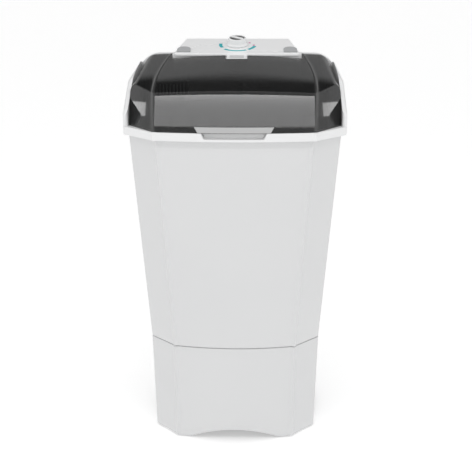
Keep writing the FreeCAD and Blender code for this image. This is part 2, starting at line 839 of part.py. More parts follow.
def make_control_panel(deck):
    """The slanted panel with its low side walls, which stand on the deck, and its tongue."""
    shell = cut(wedge("panel_outside", "0", "0"),
                wedge("panel_inside", "panel_wall", minus("panel_plate")), deck)
    tongue = make_tongue()
    holes = [panel_cylinder("timer_shaft_radius + running_gap", "2 * panel_plate", "0", "knob_along",
                            minus("2 * panel_plate"))]
    for x in timer_screw_sides():
        holes.append(panel_cylinder("timer_screw_radius", "2 * panel_plate", x, "knob_along",
                                    minus("2 * panel_plate")))
        holes.append(panel_cylinder("timer_screw_head", "2 * timer_screw_sink", x, "knob_along",
                                    minus("timer_screw_sink")))
    piece(cut(fuse(shell, tongue), *holes), "control_panel")


def make_hinge_covers():
    """Grey covers over the hinges, square at the front and round at the back."""
    for side, x in (("left", minus("cover_x")), ("right", "cover_x")):
        body = new_body("hinge_cover")
        items = [("cover_half_width", "0"),
                 ("cover_half_width", "cover_length - cover_half_width"),
                 Via("0", "cover_length"),
                 (minus("cover_half_width"), "cover_length - cover_half_width"),
                 (minus("cover_half_width"), "0")]
        feature(body, "Pad", outline_at(body, "XY_Plane", items), "cover_height")
        piece(on_panel(body, x, "cover_front"), f"hinge_cover_{side}")


# Lid

def lid_section(body, y, low, inset):
    """A section across the lid: crowned top, a crease each side, and shoulders that round over to the sides."""
    share = f"(({y} - lid_start_y) / (lid_back_y - lid_start_y))"
    half = f"(lid_half_width - {inset})"
    crown = f"(lid_fold_z + lid_rise * ({y} - lid_fold_y))"
    crease_x = f"(lid_crease_front + (lid_crease_back - lid_crease_front) * {share})"
    crease_z = f"({crown} - lid_crown)"
    outer = f"(lid_shoulder_front + (lid_shoulder_back - lid_shoulder_front) * {share})"
    edge_z = f"({crease_z} - lid_shoulder_fall - {outer} * sin(lid_shoulder_turn))"
    radius = f"({outer} - {inset})"
    right = [(half, low),
             (half, edge_z),
             Via(f"{half} - {radius} * (1 - cos(lid_shoulder_turn / 2))",
                 f"{edge_z} + {radius} * sin(lid_shoulder_turn / 2)"),
             (f"{half} - {radius} * (1 - cos(lid_shoulder_turn))",
              f"{edge_z} + {radius} * sin(lid_shoulder_turn)"),
             (crease_x, f"{crease_z} - {inset}")]
    items = mirrored(right)
    items.insert(len(right), Via("0", f"{crown} - {inset}"))
    return outline_at(body, "XZ_Plane", items, minus(y))


def lid_plan(body, z, inset):
    """The lid's plan at one height: bowed front, chamfered corners, and all of it leaning back."""
    front = f"(lid_front_y + {inset})"
    half = f"(lid_half_width - {inset})"
    right = [(f"lid_crease_x - {inset} / 2", front),
             (half, f"{front} + lid_corner_run"),
             (half, f"{CUTTER}")]
    items = mirrored(right) + [Via("0", f"{front} - front_bow")]
    return outline_at(body, "XY_Plane", items, z, f"lid_lean * ({z} - lid_low_z)")


def leaning_prism(name, inset):
    """The lid's plan carried up along its lean."""
    body = new_body(name)
    loft(body, "AdditiveLoft", [lid_plan(body, "body_top_z", inset),
                                lid_plan(body, "lid_back_z + rim_height", inset)])
    return body


def lid_form(name, inset, low, back):
    """The lid as a full solid, or the same set in by its wall."""
    body = new_body(name)
    loft(body, "AdditiveLoft", [lid_section(body, "lid_start_y", low, inset),
                                lid_section(body, back, low, inset)])
    return common(body, leaning_prism(name + "_plan", inset))


def make_handle_window():
    """The tapering gap in the lid's front wall that the handle fills."""
    body = new_body("handle_window")
    right = [("handle_low_half", "lid_low_z"), ("handle_top_half", "lid_low_z + handle_height")]
    sketch = outline_at(body, "XZ_Plane", mirrored(right), minus("lid_front_y + lid_corner_run / 2"))
    feature(body, "Pad", sketch, f"{CUTTER}")
    return body


def make_side_relief():
    """The wedge that trims the lid's sides, so that they clear the rim as the lid turns."""
    body = new_body("side_relief")
    corner = "lid_front_y + lid_corner_run"
    items = [(corner, "lid_low_z"), ("2 * lid_back_y", "lid_low_z"),
             ("2 * lid_back_y", "lid_low_z + 2 * lid_side_rise")]
    feature(body, "Pad", outline_at(body, "YZ_Plane", items, f"-{CUTTER}"), f"2 * {CUTTER}")
    return body


def make_lid():
    """The see-through lid shell with an ear for each hinge pin, and the handle in its front wall."""
    outside = lid_form("lid_outside", "0", "lid_low_z", "lid_back_y")
    inside = lid_form("lid_inside", "lid_wall", "body_top_z", "(lid_back_y + rim_height)")
    up = f"lid_low_z + {CUTTER}"
    notch = box((minus("lid_notch_half"), "lid_notch_y", "lid_low_z"),
                ("lid_notch_half", f"{CUTTER}", up))
    tongue_half = "tongue_half_width + tongue_gap"
    tongue_notch = box((minus(tongue_half), "tongue_front_y - tongue_gap", "lid_low_z"),
                       (tongue_half, f"{CUTTER}", up))
    window = make_handle_window()
    shell = cut(outside, inside, notch, tongue_notch, window, make_side_relief())
    ear_low = ("hinge_y - ear_half_length", "hinge_z - ear_half_length")
    ear_high = ("hinge_y + ear_half_length", up)
    ear_end = "ear_x + ear_thickness"
    ears = [common(outside, box(("ear_x",) + ear_low, (ear_end,) + ear_high)),
            common(outside, box((minus(ear_end),) + ear_low, (minus("ear_x"),) + ear_high))]
    pin_hole = cylinder("hinge_pin_radius + running_gap", f"2 * {CUTTER}", f"-{CUTTER}", "hinge_y",
                        "hinge_z", "x")
    ear_span = box((minus("lid_half_width - rim_height"), "0", "lid_low_z"),
                   ("lid_half_width - rim_height", f"{CUTTER}", up))
    piece(cut(fuse(shell, *ears), common(pin_hole, ear_span)), "lid_shell")
    bar = cut(leaning_prism("handle_outside", minus("handle_proud")),
              leaning_prism("handle_inside", "handle_depth"))
    piece(common(window, bar), "lid_handle")


def make_hinge_pins():
    """A pin each side, held in the compartment's wall and turning in the lid's ear."""
    length = "hinge_pin_grip + ear_gap + ear_thickness + hinge_pin_end"
    inner = "console_half_width - hinge_pin_grip"
    for side, x in (("left", f"-({inner}) - ({length})"), ("right", inner)):
        piece(cylinder("hinge_pin_radius", length, x, "hinge_y", "hinge_z", "x"), f"hinge_pin_{side}")


# Timer and knob

def make_knob():
    """The timer knob with its wide foot, the dark disc sunk in its top, and the grip bar across that."""
    body = new_body("timer_knob")
    step = "(knob_radius - knob_waist)"
    revolve(body, [
        ("timer_shaft_radius", "0"),
        ("knob_radius", "0"),
        ("knob_radius", "knob_skirt - knob_recess / 2"),
        Via(f"knob_radius - {step} * (1 - sqrt(0.5))", f"knob_skirt - knob_recess / 2 + {step} * sqrt(0.5)"),
        ("knob_waist", f"knob_skirt - knob_recess / 2 + {step}"),
        ("knob_waist - knob_insert", "knob_height - knob_insert"),
        ("knob_waist - 2 * knob_insert", "knob_height"),
        ("knob_recess_radius", "knob_height"),
        ("knob_recess_radius", "knob_height - knob_recess"),
        ("timer_shaft_radius", "knob_height - knob_recess")])
    piece(on_panel(body, "0", "knob_along", "knob_gap"), "timer_knob")
    sunk = "knob_gap + knob_height - knob_recess"
    piece(panel_cylinder("knob_recess_radius", "knob_insert", "0", "knob_along", sunk), "knob_insert")
    grip = new_body("knob_grip")
    half = "(sqrt(knob_recess_radius^2 - grip_width^2 / 4) - guide_gap)"
    corners = [(along, across) for along, across in ((half, "grip_width / 2"), (minus(half), "grip_width / 2"),
                                                     (minus(half), "-grip_width / 2"),
                                                     (half, "-grip_width / 2"))]
    items = [(f"{along} * cos(grip_turn) - ({across}) * sin(grip_turn)",
              f"{along} * sin(grip_turn) + ({across}) * cos(grip_turn)") for along, across in corners]
    feature(grip, "Pad", outline_at(grip, "XY_Plane", items), "grip_height")
    piece(on_panel(grip, "0", "knob_along", f"{sunk} + knob_insert"), "knob_grip")
    shaft_low = "-(panel_plate + timer_shaft_grip)"
    piece(panel_cylinder("timer_shaft_radius", f"knob_gap + timer_shaft_grip - ({shaft_low})", "0",
                         "knob_along", shaft_low), "timer_shaft")


def make_timer():
    """The clockwork timer under the panel, and the two sunk screws that hold it."""
    case = doc.addObject("Part::Box", "timer_case")
    drive(case, Length="timer_length", Width="timer_width", Height="timer_depth")
    on_panel(case, "-timer_length / 2", "knob_along - timer_width / 2", "-(panel_plate + timer_depth)")
    bore = "panel_plate + timer_shaft_grip + 2 * knob_gap"
    holes = [panel_cylinder("timer_shaft_radius + running_gap", bore, "0", "knob_along", minus(bore))]
    screws = []
    reach = "panel_plate + timer_screw_sink * 4"
    for x in timer_screw_sides():
        holes.append(panel_cylinder("timer_screw_radius", reach, x, "knob_along", minus(reach)))
        screws.append(fuse(
            panel_cylinder("timer_screw_radius", f"{reach} - timer_screw_sink / 2", x, "knob_along",
                           minus(reach)),
            panel_cylinder("timer_screw_head", "timer_screw_sink * 0.8", x, "knob_along",
                           minus("timer_screw_sink"))))
    piece(cut(case, *holes), "timer_body")
    piece(group(*screws), "timer_screws")


# Impeller and its bearing

def on_axis(body, y="axis_y"):
    """Moves a turned body onto the drive's axis, or onto the motor's."""
    return place(body, "0", y, "0")


def make_impeller():
    """The finned disc at the bottom of the tub, with the screw that holds it and the cap over that."""
    body = new_body("impeller")
    revolve(body, [
        ("shaft_radius", "impeller_z"),
        ("impeller_radius", "impeller_z"),
        ("impeller_radius", "impeller_z + impeller_rim"),
        ("(impeller_radius + hub_radius) / 2", "impeller_z + impeller_rim + impeller_crown / 3"),
        ("hub_radius", "impeller_top_z"),
        ("shaft_radius", "impeller_top_z")])
    sketch = outline_at(body, "XY_Plane", [
        ("hub_radius / 2", "fin_width / 2"), ("hub_radius / 2", "-fin_width / 2"),
        ("fin_reach", "-fin_width / 2"), Via("fin_reach + fin_width / 2", "0"),
        ("fin_reach", "fin_width / 2")], "impeller_z + impeller_rim / 2")
    fin = feature(body, "Pad", sketch, "fin_height + impeller_rim / 2")
    doc.recompute()
    fins = body.newObject("PartDesign::PolarPattern", "fins")
    fins.Originals = [fin]
    fins.Axis = (sketch, ["N_Axis"])
    fins.Angle = 360.0
    drive(fins, Occurrences="fin_count")
    body.Tip = fins
    piece(on_axis(body), "impeller")
    cap = new_body("impeller_cap")
    revolve(cap, [
        ("screw_head_radius + guide_gap", "impeller_top_z"),
        ("cap_radius", "impeller_top_z"),
        ("cap_radius - cap_height / 2", "impeller_top_z + cap_height"),
        ("0", "impeller_top_z + cap_height"),
        ("0", "impeller_top_z + screw_head + guide_gap"),
        ("screw_head_radius + guide_gap", "impeller_top_z + screw_head + guide_gap")])
    piece(on_axis(cap), "impeller_cap")
    screw = fuse(cylinder("screw_radius", "screw_length", "0", "axis_y", "impeller_top_z - screw_length"),
                 cylinder("screw_head_radius", "screw_head", "0", "axis_y", "impeller_top_z"))
    piece(screw, "impeller_screw")


def ring(outer, inner, low, height, y="axis_y"):
    """A plain ring on the drive's axis."""
    return cut(cylinder(outer, height, "0", y, low), cylinder(inner, height, "0", y, low))


def make_bearing():
    """The bearing housing under the tub's floor, its two bushes, the seal above them and its screws."""
    body = new_body("bearing_housing")
    top = "tub_floor_z + boss_rise"
    revolve(body, [
        ("tube_bore", "plate_z"),
        ("tube_radius", "plate_z"),
        ("tube_radius", "floor_low_z - flange_thickness"),
        ("flange_radius", "floor_low_z - flange_thickness"),
        ("flange_radius", "floor_low_z"),
        ("boss_radius", "floor_low_z"),
        ("boss_radius", top),
        ("tube_bore", top)])
    holes = [(x, y.replace("axis_y", "0"), "flange_screw_radius") for x, y in flange_screw_places()]
    feature(body, "Pocket", circles_at(body, holes, "floor_low_z"), "flange_thickness")
    piece(on_axis(body), "bearing_housing")
    bore = "shaft_radius + running_gap"
    piece(ring("tube_bore", bore, f"{top} - seal_height", "seal_height"), "shaft_seal")
    piece(ring("tube_bore", bore, f"{top} - seal_height - bush_length", "bush_length"), "bush_upper")
    piece(ring("tube_bore", bore, "plate_z", "bush_length"), "bush_lower")
    screws = []
    for x, y in flange_screw_places():
        screws.append(fuse(
            cylinder("flange_screw_radius", "tub_floor + flange_thickness", x, y,
                     "floor_low_z - flange_thickness"),
            cylinder("flange_screw_head", "flange_screw_head_height", x, y, "tub_floor_z")))
    piece(group(*screws), "bearing_screws")


def make_drive_shaft():
    """The shaft from the drive pulley up to the impeller, with the impeller screw's hole in its top."""
    top = "impeller_top_z - boss_rise"
    shaft = cylinder("shaft_radius", f"{top} - shaft_low_z", "0", "axis_y", "shaft_low_z")
    hole = cylinder("screw_radius", "screw_length", "0", "axis_y", "impeller_top_z - screw_length")
    piece(cut(shaft, hole), "drive_shaft")


# Pulleys and belt

def grooved_edge(radius):
    """A pulley's edge from its bottom to its top, with the belt's groove in the middle."""
    low = "belt_mid_z - belt_width / 2 - belt_gap"
    high = "belt_mid_z + belt_width / 2 + belt_gap"
    bottom = f"{radius} - belt_sit - belt_gap"
    return [(radius, "pulley_z"), (radius, low), (bottom, low),
            (bottom, high), (radius, high), (radius, "pulley_z + pulley_width")]


def make_pulleys():
    """The large drive pulley with the nut under it, and the small one on the motor."""
    top = "pulley_z + pulley_width"
    web_low = "belt_mid_z - pulley_web / 2"
    web_high = "belt_mid_z + pulley_web / 2"
    inner = "pulley_radius - pulley_rim"
    large = new_body("drive_pulley")
    revolve(large, [("shaft_radius", "pulley_z"), ("pulley_hub", "pulley_z"), ("pulley_hub", web_low),
                    (inner, web_low), (inner, "pulley_z")]
            + grooved_edge("pulley_radius")
            + [(inner, top), (inner, web_high), ("pulley_hub", web_high), ("pulley_hub", top),
               ("shaft_radius", top)])
    piece(on_axis(large), "drive_pulley")
    small = new_body("motor_pulley")
    revolve(small, [("motor_shaft_radius", "pulley_z")] + grooved_edge("motor_pulley_radius")
            + [("motor_shaft_radius", top)])
    piece(on_axis(small, "motor_y"), "motor_pulley")
    nut = new_body("pulley_nut")
    sketch = new_sketch(nut, "XY_Plane", "pulley_z - nut_height")
    draw_outline(sketch, [(f"nut_flat / cos(30) * cos({angle})", f"nut_flat / cos(30) * sin({angle})")
                          for angle in range(15, 360, 60)])
    draw_circle(sketch, "0", "0", "shaft_radius")
    feature(nut, "Pad", sketch, "nut_height")
    piece(on_axis(nut), "pulley_nut")


def belt_loop(out):
    """The belt's path round both pulleys, moved out by a distance."""
    large = f"(pulley_radius - belt_sit + {out})"
    small = f"(motor_pulley_radius - belt_sit + {out})"
    sine = "((pulley_radius - motor_pulley_radius) / motor_offset)"
    cosine = f"sqrt(1 - {sine}^2)"
    return [(f"{large} * {cosine}", f"axis_y + {large} * {sine}"),
            (f"{small} * {cosine}", f"motor_y + {small} * {sine}"),
            Via("0", f"motor_y + {small}"),
            (f"-{small} * {cosine}", f"motor_y + {small} * {sine}"),
            (f"-{large} * {cosine}", f"axis_y + {large} * {sine}"),
            Via("0", f"axis_y - {large}")]


def make_belt():
    """The belt between the pulleys."""
    body = new_body("drive_belt")
    sketch = new_sketch(body, "XY_Plane", "belt_mid_z - belt_width / 2")
    draw_outline(sketch, belt_loop("belt_height"))
    draw_outline(sketch, belt_loop("0"))
    feature(body, "Pad", sketch, "belt_width")
    piece(body, "drive_belt")


# Motor and its plate

def motor_bolt_places(y):
    """The four bolts that hold the motor to its plate."""
    reach = "motor_bolt_circle / sqrt(2)"
    return [(x, f"{y} {sign} {reach}") for x in (reach, minus(reach)) for sign in "+-"]


def post_places():
    """The four posts that hang the motor plate from the tub's floor."""
    reach = "plate_half_width - post_inset"
    return [(x, y) for x in (reach, minus(reach))
            for y in ("axis_y - plate_front + post_inset", "motor_y + plate_back - post_inset")]


def bolts(places):
    """Bolts that come up through the plate from below."""
    return group(*[fuse(cylinder("bolt_head_radius", "bolt_head", x, y, "plate_z - bolt_head"),
                        cylinder("bolt_radius", "bolt_grip", x, y, "plate_z")) for x, y in places])


def make_motor_plate():
    """The steel plate below the tub, the posts it hangs from, and the bolts through it."""
    body = new_body("motor_plate")
    right = [("plate_half_width", "axis_y - plate_front"), ("plate_half_width", "motor_y + plate_back")]
    feature(body, "Pad", outline_at(body, "XY_Plane", mirrored(right), "plate_z"), "plate_thickness")
    holes = [("0", "axis_y", "tube_radius"), ("0", "motor_y", "2 * motor_shaft_radius")]
    holes += [(x, y, "bolt_radius") for x, y in post_places() + motor_bolt_places("motor_y")]
    feature(body, "Pocket", circles_at(body, holes, "plate_top_z"), "2 * plate_thickness")
    piece(body, "motor_plate")
    piece(bolts(post_places()), "plate_bolts")
    piece(bolts(motor_bolt_places("motor_y")), "motor_bolts")
    for (x, y), name in zip(post_places(), ("front_right", "back_right", "front_left", "back_left")):
        post = cylinder("post_radius", "floor_low_z - plate_top_z", x, y, "plate_top_z")
        hole = cylinder("bolt_radius", "bolt_grip", x, y, "plate_z")
        piece(cut(post, hole), f"plate_post_{name}")


def make_motor():
    """The motor on its plate, with a shaft that reaches down to its pulley."""
    body = new_body("motor_body")
    end = "motor_radius - motor_cap_step"
    top = "plate_top_z + motor_height"
    bore = "motor_shaft_radius + running_gap"
    bore_top = "plate_top_z + motor_shaft_up"
    revolve(body, [
        (bore, "plate_top_z"), (end, "plate_top_z"),
        (end, "plate_top_z + motor_cap"), ("motor_radius", "plate_top_z + motor_cap"),
        ("motor_radius", f"{top} - motor_cap"), (end, f"{top} - motor_cap"),
        (end, top), ("0", top), ("0", bore_top), (bore, bore_top)])
    holes = [(x, y, "bolt_radius") for x, y in motor_bolt_places("0")]
    feature(body, "Pocket", circles_at(body, holes, "plate_top_z"), "bolt_grip - plate_thickness",
            turned=True)
    piece(on_axis(body, "motor_y"), "motor_body")
    low = "pulley_z - nut_height"
    piece(cylinder("motor_shaft_radius", f"{bore_top} - knob_gap - ({low})", "0", "motor_y", low),
          "motor_shaft")


def make_capacitor():
    """The motor's capacitor, standing on the plate in a strap."""
    spot = ("capacitor_x", "capacitor_y")
    piece(cylinder("capacitor_radius", "capacitor_height", *spot, "plate_top_z"), "capacitor")
    outer = "(capacitor_radius + strap_thickness)"
    band_low = "plate_top_z + strap_up"
    band = cylinder(outer, "strap_height", *spot, band_low)
    leg = box((f"capacitor_x - {outer}", "capacitor_y - strap_height / 2", "plate_top_z"),
              ("capacitor_x", "capacitor_y + strap_height / 2", f"{band_low} + strap_height"))
    hollow = cylinder("capacitor_radius", "capacitor_height", *spot, "plate_top_z")
    piece(cut(fuse(band, leg), hollow), "capacitor_strap")


# Drain and cable inlet

def make_drain():
    """The drain elbow under the tub's floor, with its spigot out at the back, and the strainer above it."""
    spot = ("drain_x", "drain_y")
    outer = "(drain_bore + drain_wall)"
    low = f"(drain_out_z - {outer})"
    elbow = fuse(cylinder(outer, f"tub_floor_z - {low}", *spot, low),
                 cylinder("drain_flange_radius", "drain_rise", *spot, "floor_low_z - drain_rise"),
                 cylinder(outer, "drain_reach", *spot, "drain_out_z", "y"))
    piece(cut(elbow,
              cylinder("drain_bore", "tub_floor_z - drain_out_z", *spot, "drain_out_z"),
              cylinder("drain_bore", "drain_reach", *spot, "drain_out_z", "y")), "drain_elbow")
    body = new_body("drain_strainer")
    feature(body, "Pad", circles_at(body, [spot + ("strainer_radius",)], "tub_floor_z"), "strainer_height")
    count = int(number("strainer_holes"))
    turns = [15 + 360 * index / count for index in range(count)]
    holes = [(f"drain_x + strainer_circle * cos({angle})", f"drain_y + strainer_circle * sin({angle})",
              "strainer_hole") for angle in turns]
    feature(body, "Pocket", circles_at(body, holes, "tub_floor_z + strainer_height"), "strainer_height")
    piece(body, "drain_strainer")


def make_cable_gland():
    """The gland in the skirt's rear wall that the mains lead would pass through."""
    flange_y = "gland_seat_y + gland_seat"
    nose_y = f"{flange_y} + gland_flange_height"
    length = "gland_reach + gland_seat + gland_flange_height + gland_nose"
    barrel = cylinder("gland_radius", length, "gland_x", "gland_seat_y - gland_reach", "gland_z", "y")
    flange = cylinder("gland_flange", f"{nose_y} - ({flange_y})", "gland_x", flange_y, "gland_z", "y")
    bore = cylinder("gland_bore", length, "gland_x", "gland_seat_y - gland_reach", "gland_z", "y")
    piece(cut(fuse(barrel, flange), bore), "cable_gland")


# Lint filter

def make_filter_guide():
    """The open-topped guide on the splash wall that the filter slides in."""
    front = "filter_back_y - filter_thickness - guide_gap"
    up = f"rim_top_z + {CUTTER}"
    frame = box(("filter_left - guide_gap - guide_wall", f"{front} - guide_wall", "rim_top_z"),
                ("filter_right + guide_gap + guide_wall", "deck_front_y", "rim_top_z + guide_height"))
    slot = box(("filter_left - guide_gap", front, "rim_top_z + guide_wall"),
               ("filter_right + guide_gap", "deck_front_y", up))
    window = box(("filter_left + filter_rim", f"{front} - guide_wall", "filter_low_z + filter_rim"),
                 ("filter_right - filter_rim", "deck_front_y", up))
    piece(cut(frame, slot, window), "filter_guide")


def make_lint_filter():
    """The lift-out filter: a frame with a comb of slots above a window, and the mesh in the window."""
    body = new_body("lint_filter")
    back = minus("filter_back_y")
    outside = oblong("filter_left", "filter_right", "filter_low_z", "filter_top_z")
    feature(body, "Pad", outline_at(body, "XZ_Plane", outside, back), "filter_thickness")
    left, right = "filter_left + filter_rim", "filter_right - filter_rim"
    low = "filter_low_z + filter_rim"
    slot_low = "filter_top_z - filter_rim - filter_slot_height"
    high = f"{slot_low} - filter_rim"
    feature(body, "Pocket", outline_at(body, "XZ_Plane", oblong(left, right, low, high), back),
            "filter_thickness", turned=True)
    sketch = new_sketch(body, "XZ_Plane", back)
    pitch = "(filter_width - 2 * filter_rim - filter_slot) / (filter_slots - 1)"
    for index in range(int(number("filter_slots"))):
        start = f"{left} + {index} * {pitch}"
        draw_outline(sketch, oblong(start, f"{start} + filter_slot", slot_low,
                                          "filter_top_z - filter_rim"))
    feature(body, "Pocket", sketch, "filter_thickness", turned=True)
    piece(body, "lint_filter")
    middle = "filter_back_y - filter_thickness / 2"
    piece(box((left, f"{middle} - filter_mesh / 2", low), (right, f"{middle} + filter_mesh / 2", high)),
          "filter_mesh")


# Build and write

def check_and_write():
    """Stops at a failed object or shape, then writes each sub-part to a file of its own."""
    doc.recompute()
    for thing in doc.Objects:
        if {"Invalid", "Error"} & set(thing.State):
            raise RuntimeError(f"{thing.Name} failed: {thing.State}")
    os.makedirs("parts", exist_ok=True)
    for thing in finished:
        if thing.Shape.isNull() or not thing.Shape.isValid():
            raise RuntimeError(f"{thing.Label} has no valid shape")
        thing.Shape.exportStep(f"parts/{thing.Label}.step")
        print(thing.Label, len(thing.Shape.Solids), round(thing.Shape.Volume))


fill_sheet()
make_base_skirt()
make_foot_pads()
make_wash_tub()
deck = make_deck()
make_top_housing(deck)
make_control_panel(deck)
make_hinge_covers()
make_lid()
make_hinge_pins()
make_knob()
make_timer()
make_impeller()
make_bearing()
make_drive_shaft()
make_pulleys()
make_belt()
make_motor_plate()
make_motor()
make_capacitor()
make_drain()
make_cable_gland()
make_filter_guide()
make_lint_filter()
check_and_write()
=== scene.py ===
import logging
import math
from dataclasses import dataclass
from enum import Enum
from typing import Callable, Sequence

import bmesh
import bpy
import numpy as np
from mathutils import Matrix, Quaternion, Vector


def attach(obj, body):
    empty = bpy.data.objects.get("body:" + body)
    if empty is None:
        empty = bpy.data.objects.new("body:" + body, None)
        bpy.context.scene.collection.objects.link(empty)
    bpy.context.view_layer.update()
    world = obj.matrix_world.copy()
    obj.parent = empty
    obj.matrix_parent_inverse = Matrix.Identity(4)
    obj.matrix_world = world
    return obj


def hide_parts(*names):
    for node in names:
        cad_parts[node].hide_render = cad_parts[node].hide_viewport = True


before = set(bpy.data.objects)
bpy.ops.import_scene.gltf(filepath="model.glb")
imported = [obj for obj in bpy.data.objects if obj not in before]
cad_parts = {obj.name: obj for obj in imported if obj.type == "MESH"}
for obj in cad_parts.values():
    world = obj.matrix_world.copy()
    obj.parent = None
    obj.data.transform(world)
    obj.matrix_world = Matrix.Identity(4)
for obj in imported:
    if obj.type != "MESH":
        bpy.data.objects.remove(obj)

Array = np.ndarray
Node = bpy.types.Node
Object = bpy.types.Object
Material = bpy.types.Material
Socket = bpy.types.NodeSocket
Port = tuple[Node, str]
Colour = tuple[float, float, float]
Pair = tuple[float, float]
Pairs = tuple[Pair, ...]
Floats = tuple[float, ...]
Place = tuple[float, float, float]

MM = 0.001
SHARP_ANGLE = math.radians(32.0)
WELD = 0.001
WALL_SHARES = (0.0, 0.06, 0.5, 0.94)
UNIT = (0.0, 1.0)
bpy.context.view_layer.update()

log = logging.getLogger("washing_machine")


# Mesh helpers

class Ends(Enum):
    """How the first and last ring of a surface are closed."""

    OPEN = "open"
    FAN = "fan"
    JOINED = "joined"


def fillet(radius: float, count: int) -> list[Pair]:
    """Gives r (1 - cos a) and r (1 - sin a) at count angles from 0 to a right angle."""
    angle = np.linspace(0.0, math.pi / 2.0, count)
    return list(zip(radius * (1.0 - np.cos(angle)), radius * (1.0 - np.sin(angle))))


def xyz(x: Array | float, y: Array | float, z: Array | float) -> Array:
    """Puts three coordinates, spread to one shape, together as points."""
    return np.stack(np.broadcast_arrays(x, y, z), axis=-1)


def at_height(loop: Array, z: Array | float) -> Array:
    """Lifts a plane loop to one height, or to one for each of its points."""
    return xyz(loop[..., 0], loop[..., 1], z)


def unit(vector: Array) -> Array:
    """Scales a vector to length 1."""
    return vector / np.linalg.norm(vector)


def rounded_path(corners: Sequence[Sequence[float]], radii: Sequence[float],
                 counts: Sequence[int], crowded: int | None = None, steps: int = 6) -> Array:
    """Draws an open path of straight runs whose inner corners are circular arcs.

    An arc starts r tan(angle / 2) before its corner. Its centre lies r to the left of that place, or
    to the right where the path turns right, and it sweeps the angle between the two runs.

    Args:
        corners: The path's corners from start to end.
        radii: One radius for each inner corner.
        counts: A point count for each straight run.
        crowded: The run whose points crowd at its start, as t squared.
        steps: Points on each arc.

    Returns:
        An array of points, with the start and the end among them.
    """
    corner = np.asarray(corners, float)
    heading = [unit(b - a) for a, b in zip(corner[:-1], corner[1:])]
    arcs, leave, arrive = [], [corner[0]], []
    for spot, before, after, radius in zip(corner[1:-1], heading[:-1], heading[1:], radii):
        angle = math.atan2(before[0] * after[1] - before[1] * after[0], float(before @ after))
        cut = radius * math.tan(abs(angle) / 2.0)
        entry, leaving = spot - before * cut, spot + after * cut
        spoke = np.array([before[1], -before[0]]) * math.copysign(radius, angle)
        turn = angle * np.linspace(0.0, 1.0, steps)[:, None]
        arcs.append(entry - spoke + np.hstack([spoke[0] * np.cos(turn) - spoke[1] * np.sin(turn),
                                               spoke[0] * np.sin(turn) + spoke[1] * np.cos(turn)]))
        arrive.append(entry)
        leave.append(leaving)
    arrive.append(corner[-1])
    parts = []
    for index, (start, end, count) in enumerate(zip(leave, arrive, counts)):
        t = np.arange(count)[:, None] / count
        along = t ** 2 if index == crowded else t
        skip = 0 if index == 0 else 1
        parts.append((start + (end - start) * along)[skip:])
        parts.append(arcs[index] if index < len(arcs) else corner[-1:])
    return np.vstack(parts)


def mirrored(path: Array) -> Array:
    """Carries a path from the front middle to the rear middle back round the left side."""
    return np.vstack([path, (path * np.array([-1.0, 1.0]))[-2:0:-1]])


@dataclass
class Shell:
    """Points in millimetres, and faces, that are gathered before they become a mesh."""

    points: Array
    quads: Array
    triangles: Array

    @staticmethod
    def grid(rings: Sequence[Array] | Array, ends: Ends, wrap: bool = True) -> "Shell":
        """Makes a shell from rings of points, with its faces outward if it is closed.

        Args:
            rings: Rings by points by 3.
            ends: FAN closes the first and the last ring with a fan round its mean point, and JOINED
                joins the last ring to the first.
            wrap: Whether each ring is closed.

        Returns:
            The shell.
        """
        points = np.asarray(rings)
        rows, columns, _ = points.shape
        row, column = np.meshgrid(np.arange(rows if ends is Ends.JOINED else rows - 1),
                                  np.arange(columns if wrap else columns - 1), indexing="ij")
        below, right = (row + 1) % rows, (column + 1) % columns
        quads = np.stack([row * columns + column, row * columns + right,
                          below * columns + right, below * columns + column], axis=-1).reshape(-1, 4)
        flat, triangles = points.reshape(-1, 3), np.zeros((0, 3), int)
        if ends is Ends.FAN:
            hub, last, here = len(flat), (rows - 1) * columns, np.arange(columns)
            after = (here + 1) % columns
            flat = np.vstack([flat, points[0].mean(0), points[-1].mean(0)])
            triangles = np.vstack([
                np.stack([np.full(columns, hub), after, here], axis=-1),
                np.stack([np.full(columns, hub + 1), last + here, last + after], axis=-1)])
        shell = Shell(flat, quads, triangles)
        return shell if ends is Ends.OPEN else shell.outward()

    @staticmethod
    def joined(shells: Sequence["Shell"]) -> "Shell":
        """Puts several shells into one."""
        starts = np.cumsum([0] + [len(shell.points) for shell in shells[:-1]])
        return Shell(np.vstack([shell.points for shell in shells]),
                     np.vstack([shell.quads + start for shell, start in zip(shells, starts)]),
                     np.vstack([shell.triangles + start for shell, start in zip(shells, starts)]))

    def moved(self, turn: Array, shift: Sequence[float]) -> "Shell":
        """Turns the points by a 3 by 3 matrix and then shifts them."""
        return Shell(self.points @ np.asarray(turn).T + np.asarray(shift), self.quads, self.triangles)

    def outward(self) -> "Shell":
        """Turns the faces round if the volume that they enclose comes out negative."""
        corners = np.vstack([self.quads[:, [0, 1, 2]], self.quads[:, [0, 2, 3]], self.triangles])
        a, b, c = (self.points[corners[:, k]] for k in range(3))
        if np.einsum("ij,ij->", a, np.cross(b, c)) < 0.0:
            return Shell(self.points, self.quads[:, ::-1], self.triangles[:, ::-1])
        return self

    def to_object(self, name: str) -> Object:
        """Writes the shell into a new mesh object at the origin.

        Args:
            name: The piece's name.

        Returns:
            The object, smooth shaded apart from its sharp edges.
        """
        mesh = bpy.data.meshes.new(name)
        mesh.from_pydata((self.points * MM).tolist(), [], self.quads.tolist() + self.triangles.tolist())
        weld = bmesh.new()
        weld.from_mesh(mesh)
        bmesh.ops.remove_doubles(weld, verts=weld.verts, dist=WELD * MM)
        bmesh.ops.dissolve_degenerate(weld, edges=weld.edges, dist=WELD * MM)
        weld.to_mesh(mesh)
        weld.free()
        mesh.validate()
        mesh.shade_smooth()
        mesh.set_sharp_from_angle(angle=SHARP_ANGLE)
        piece = bpy.data.objects.new(name, mesh)
        bpy.context.scene.collection.objects.link(piece)
        return piece


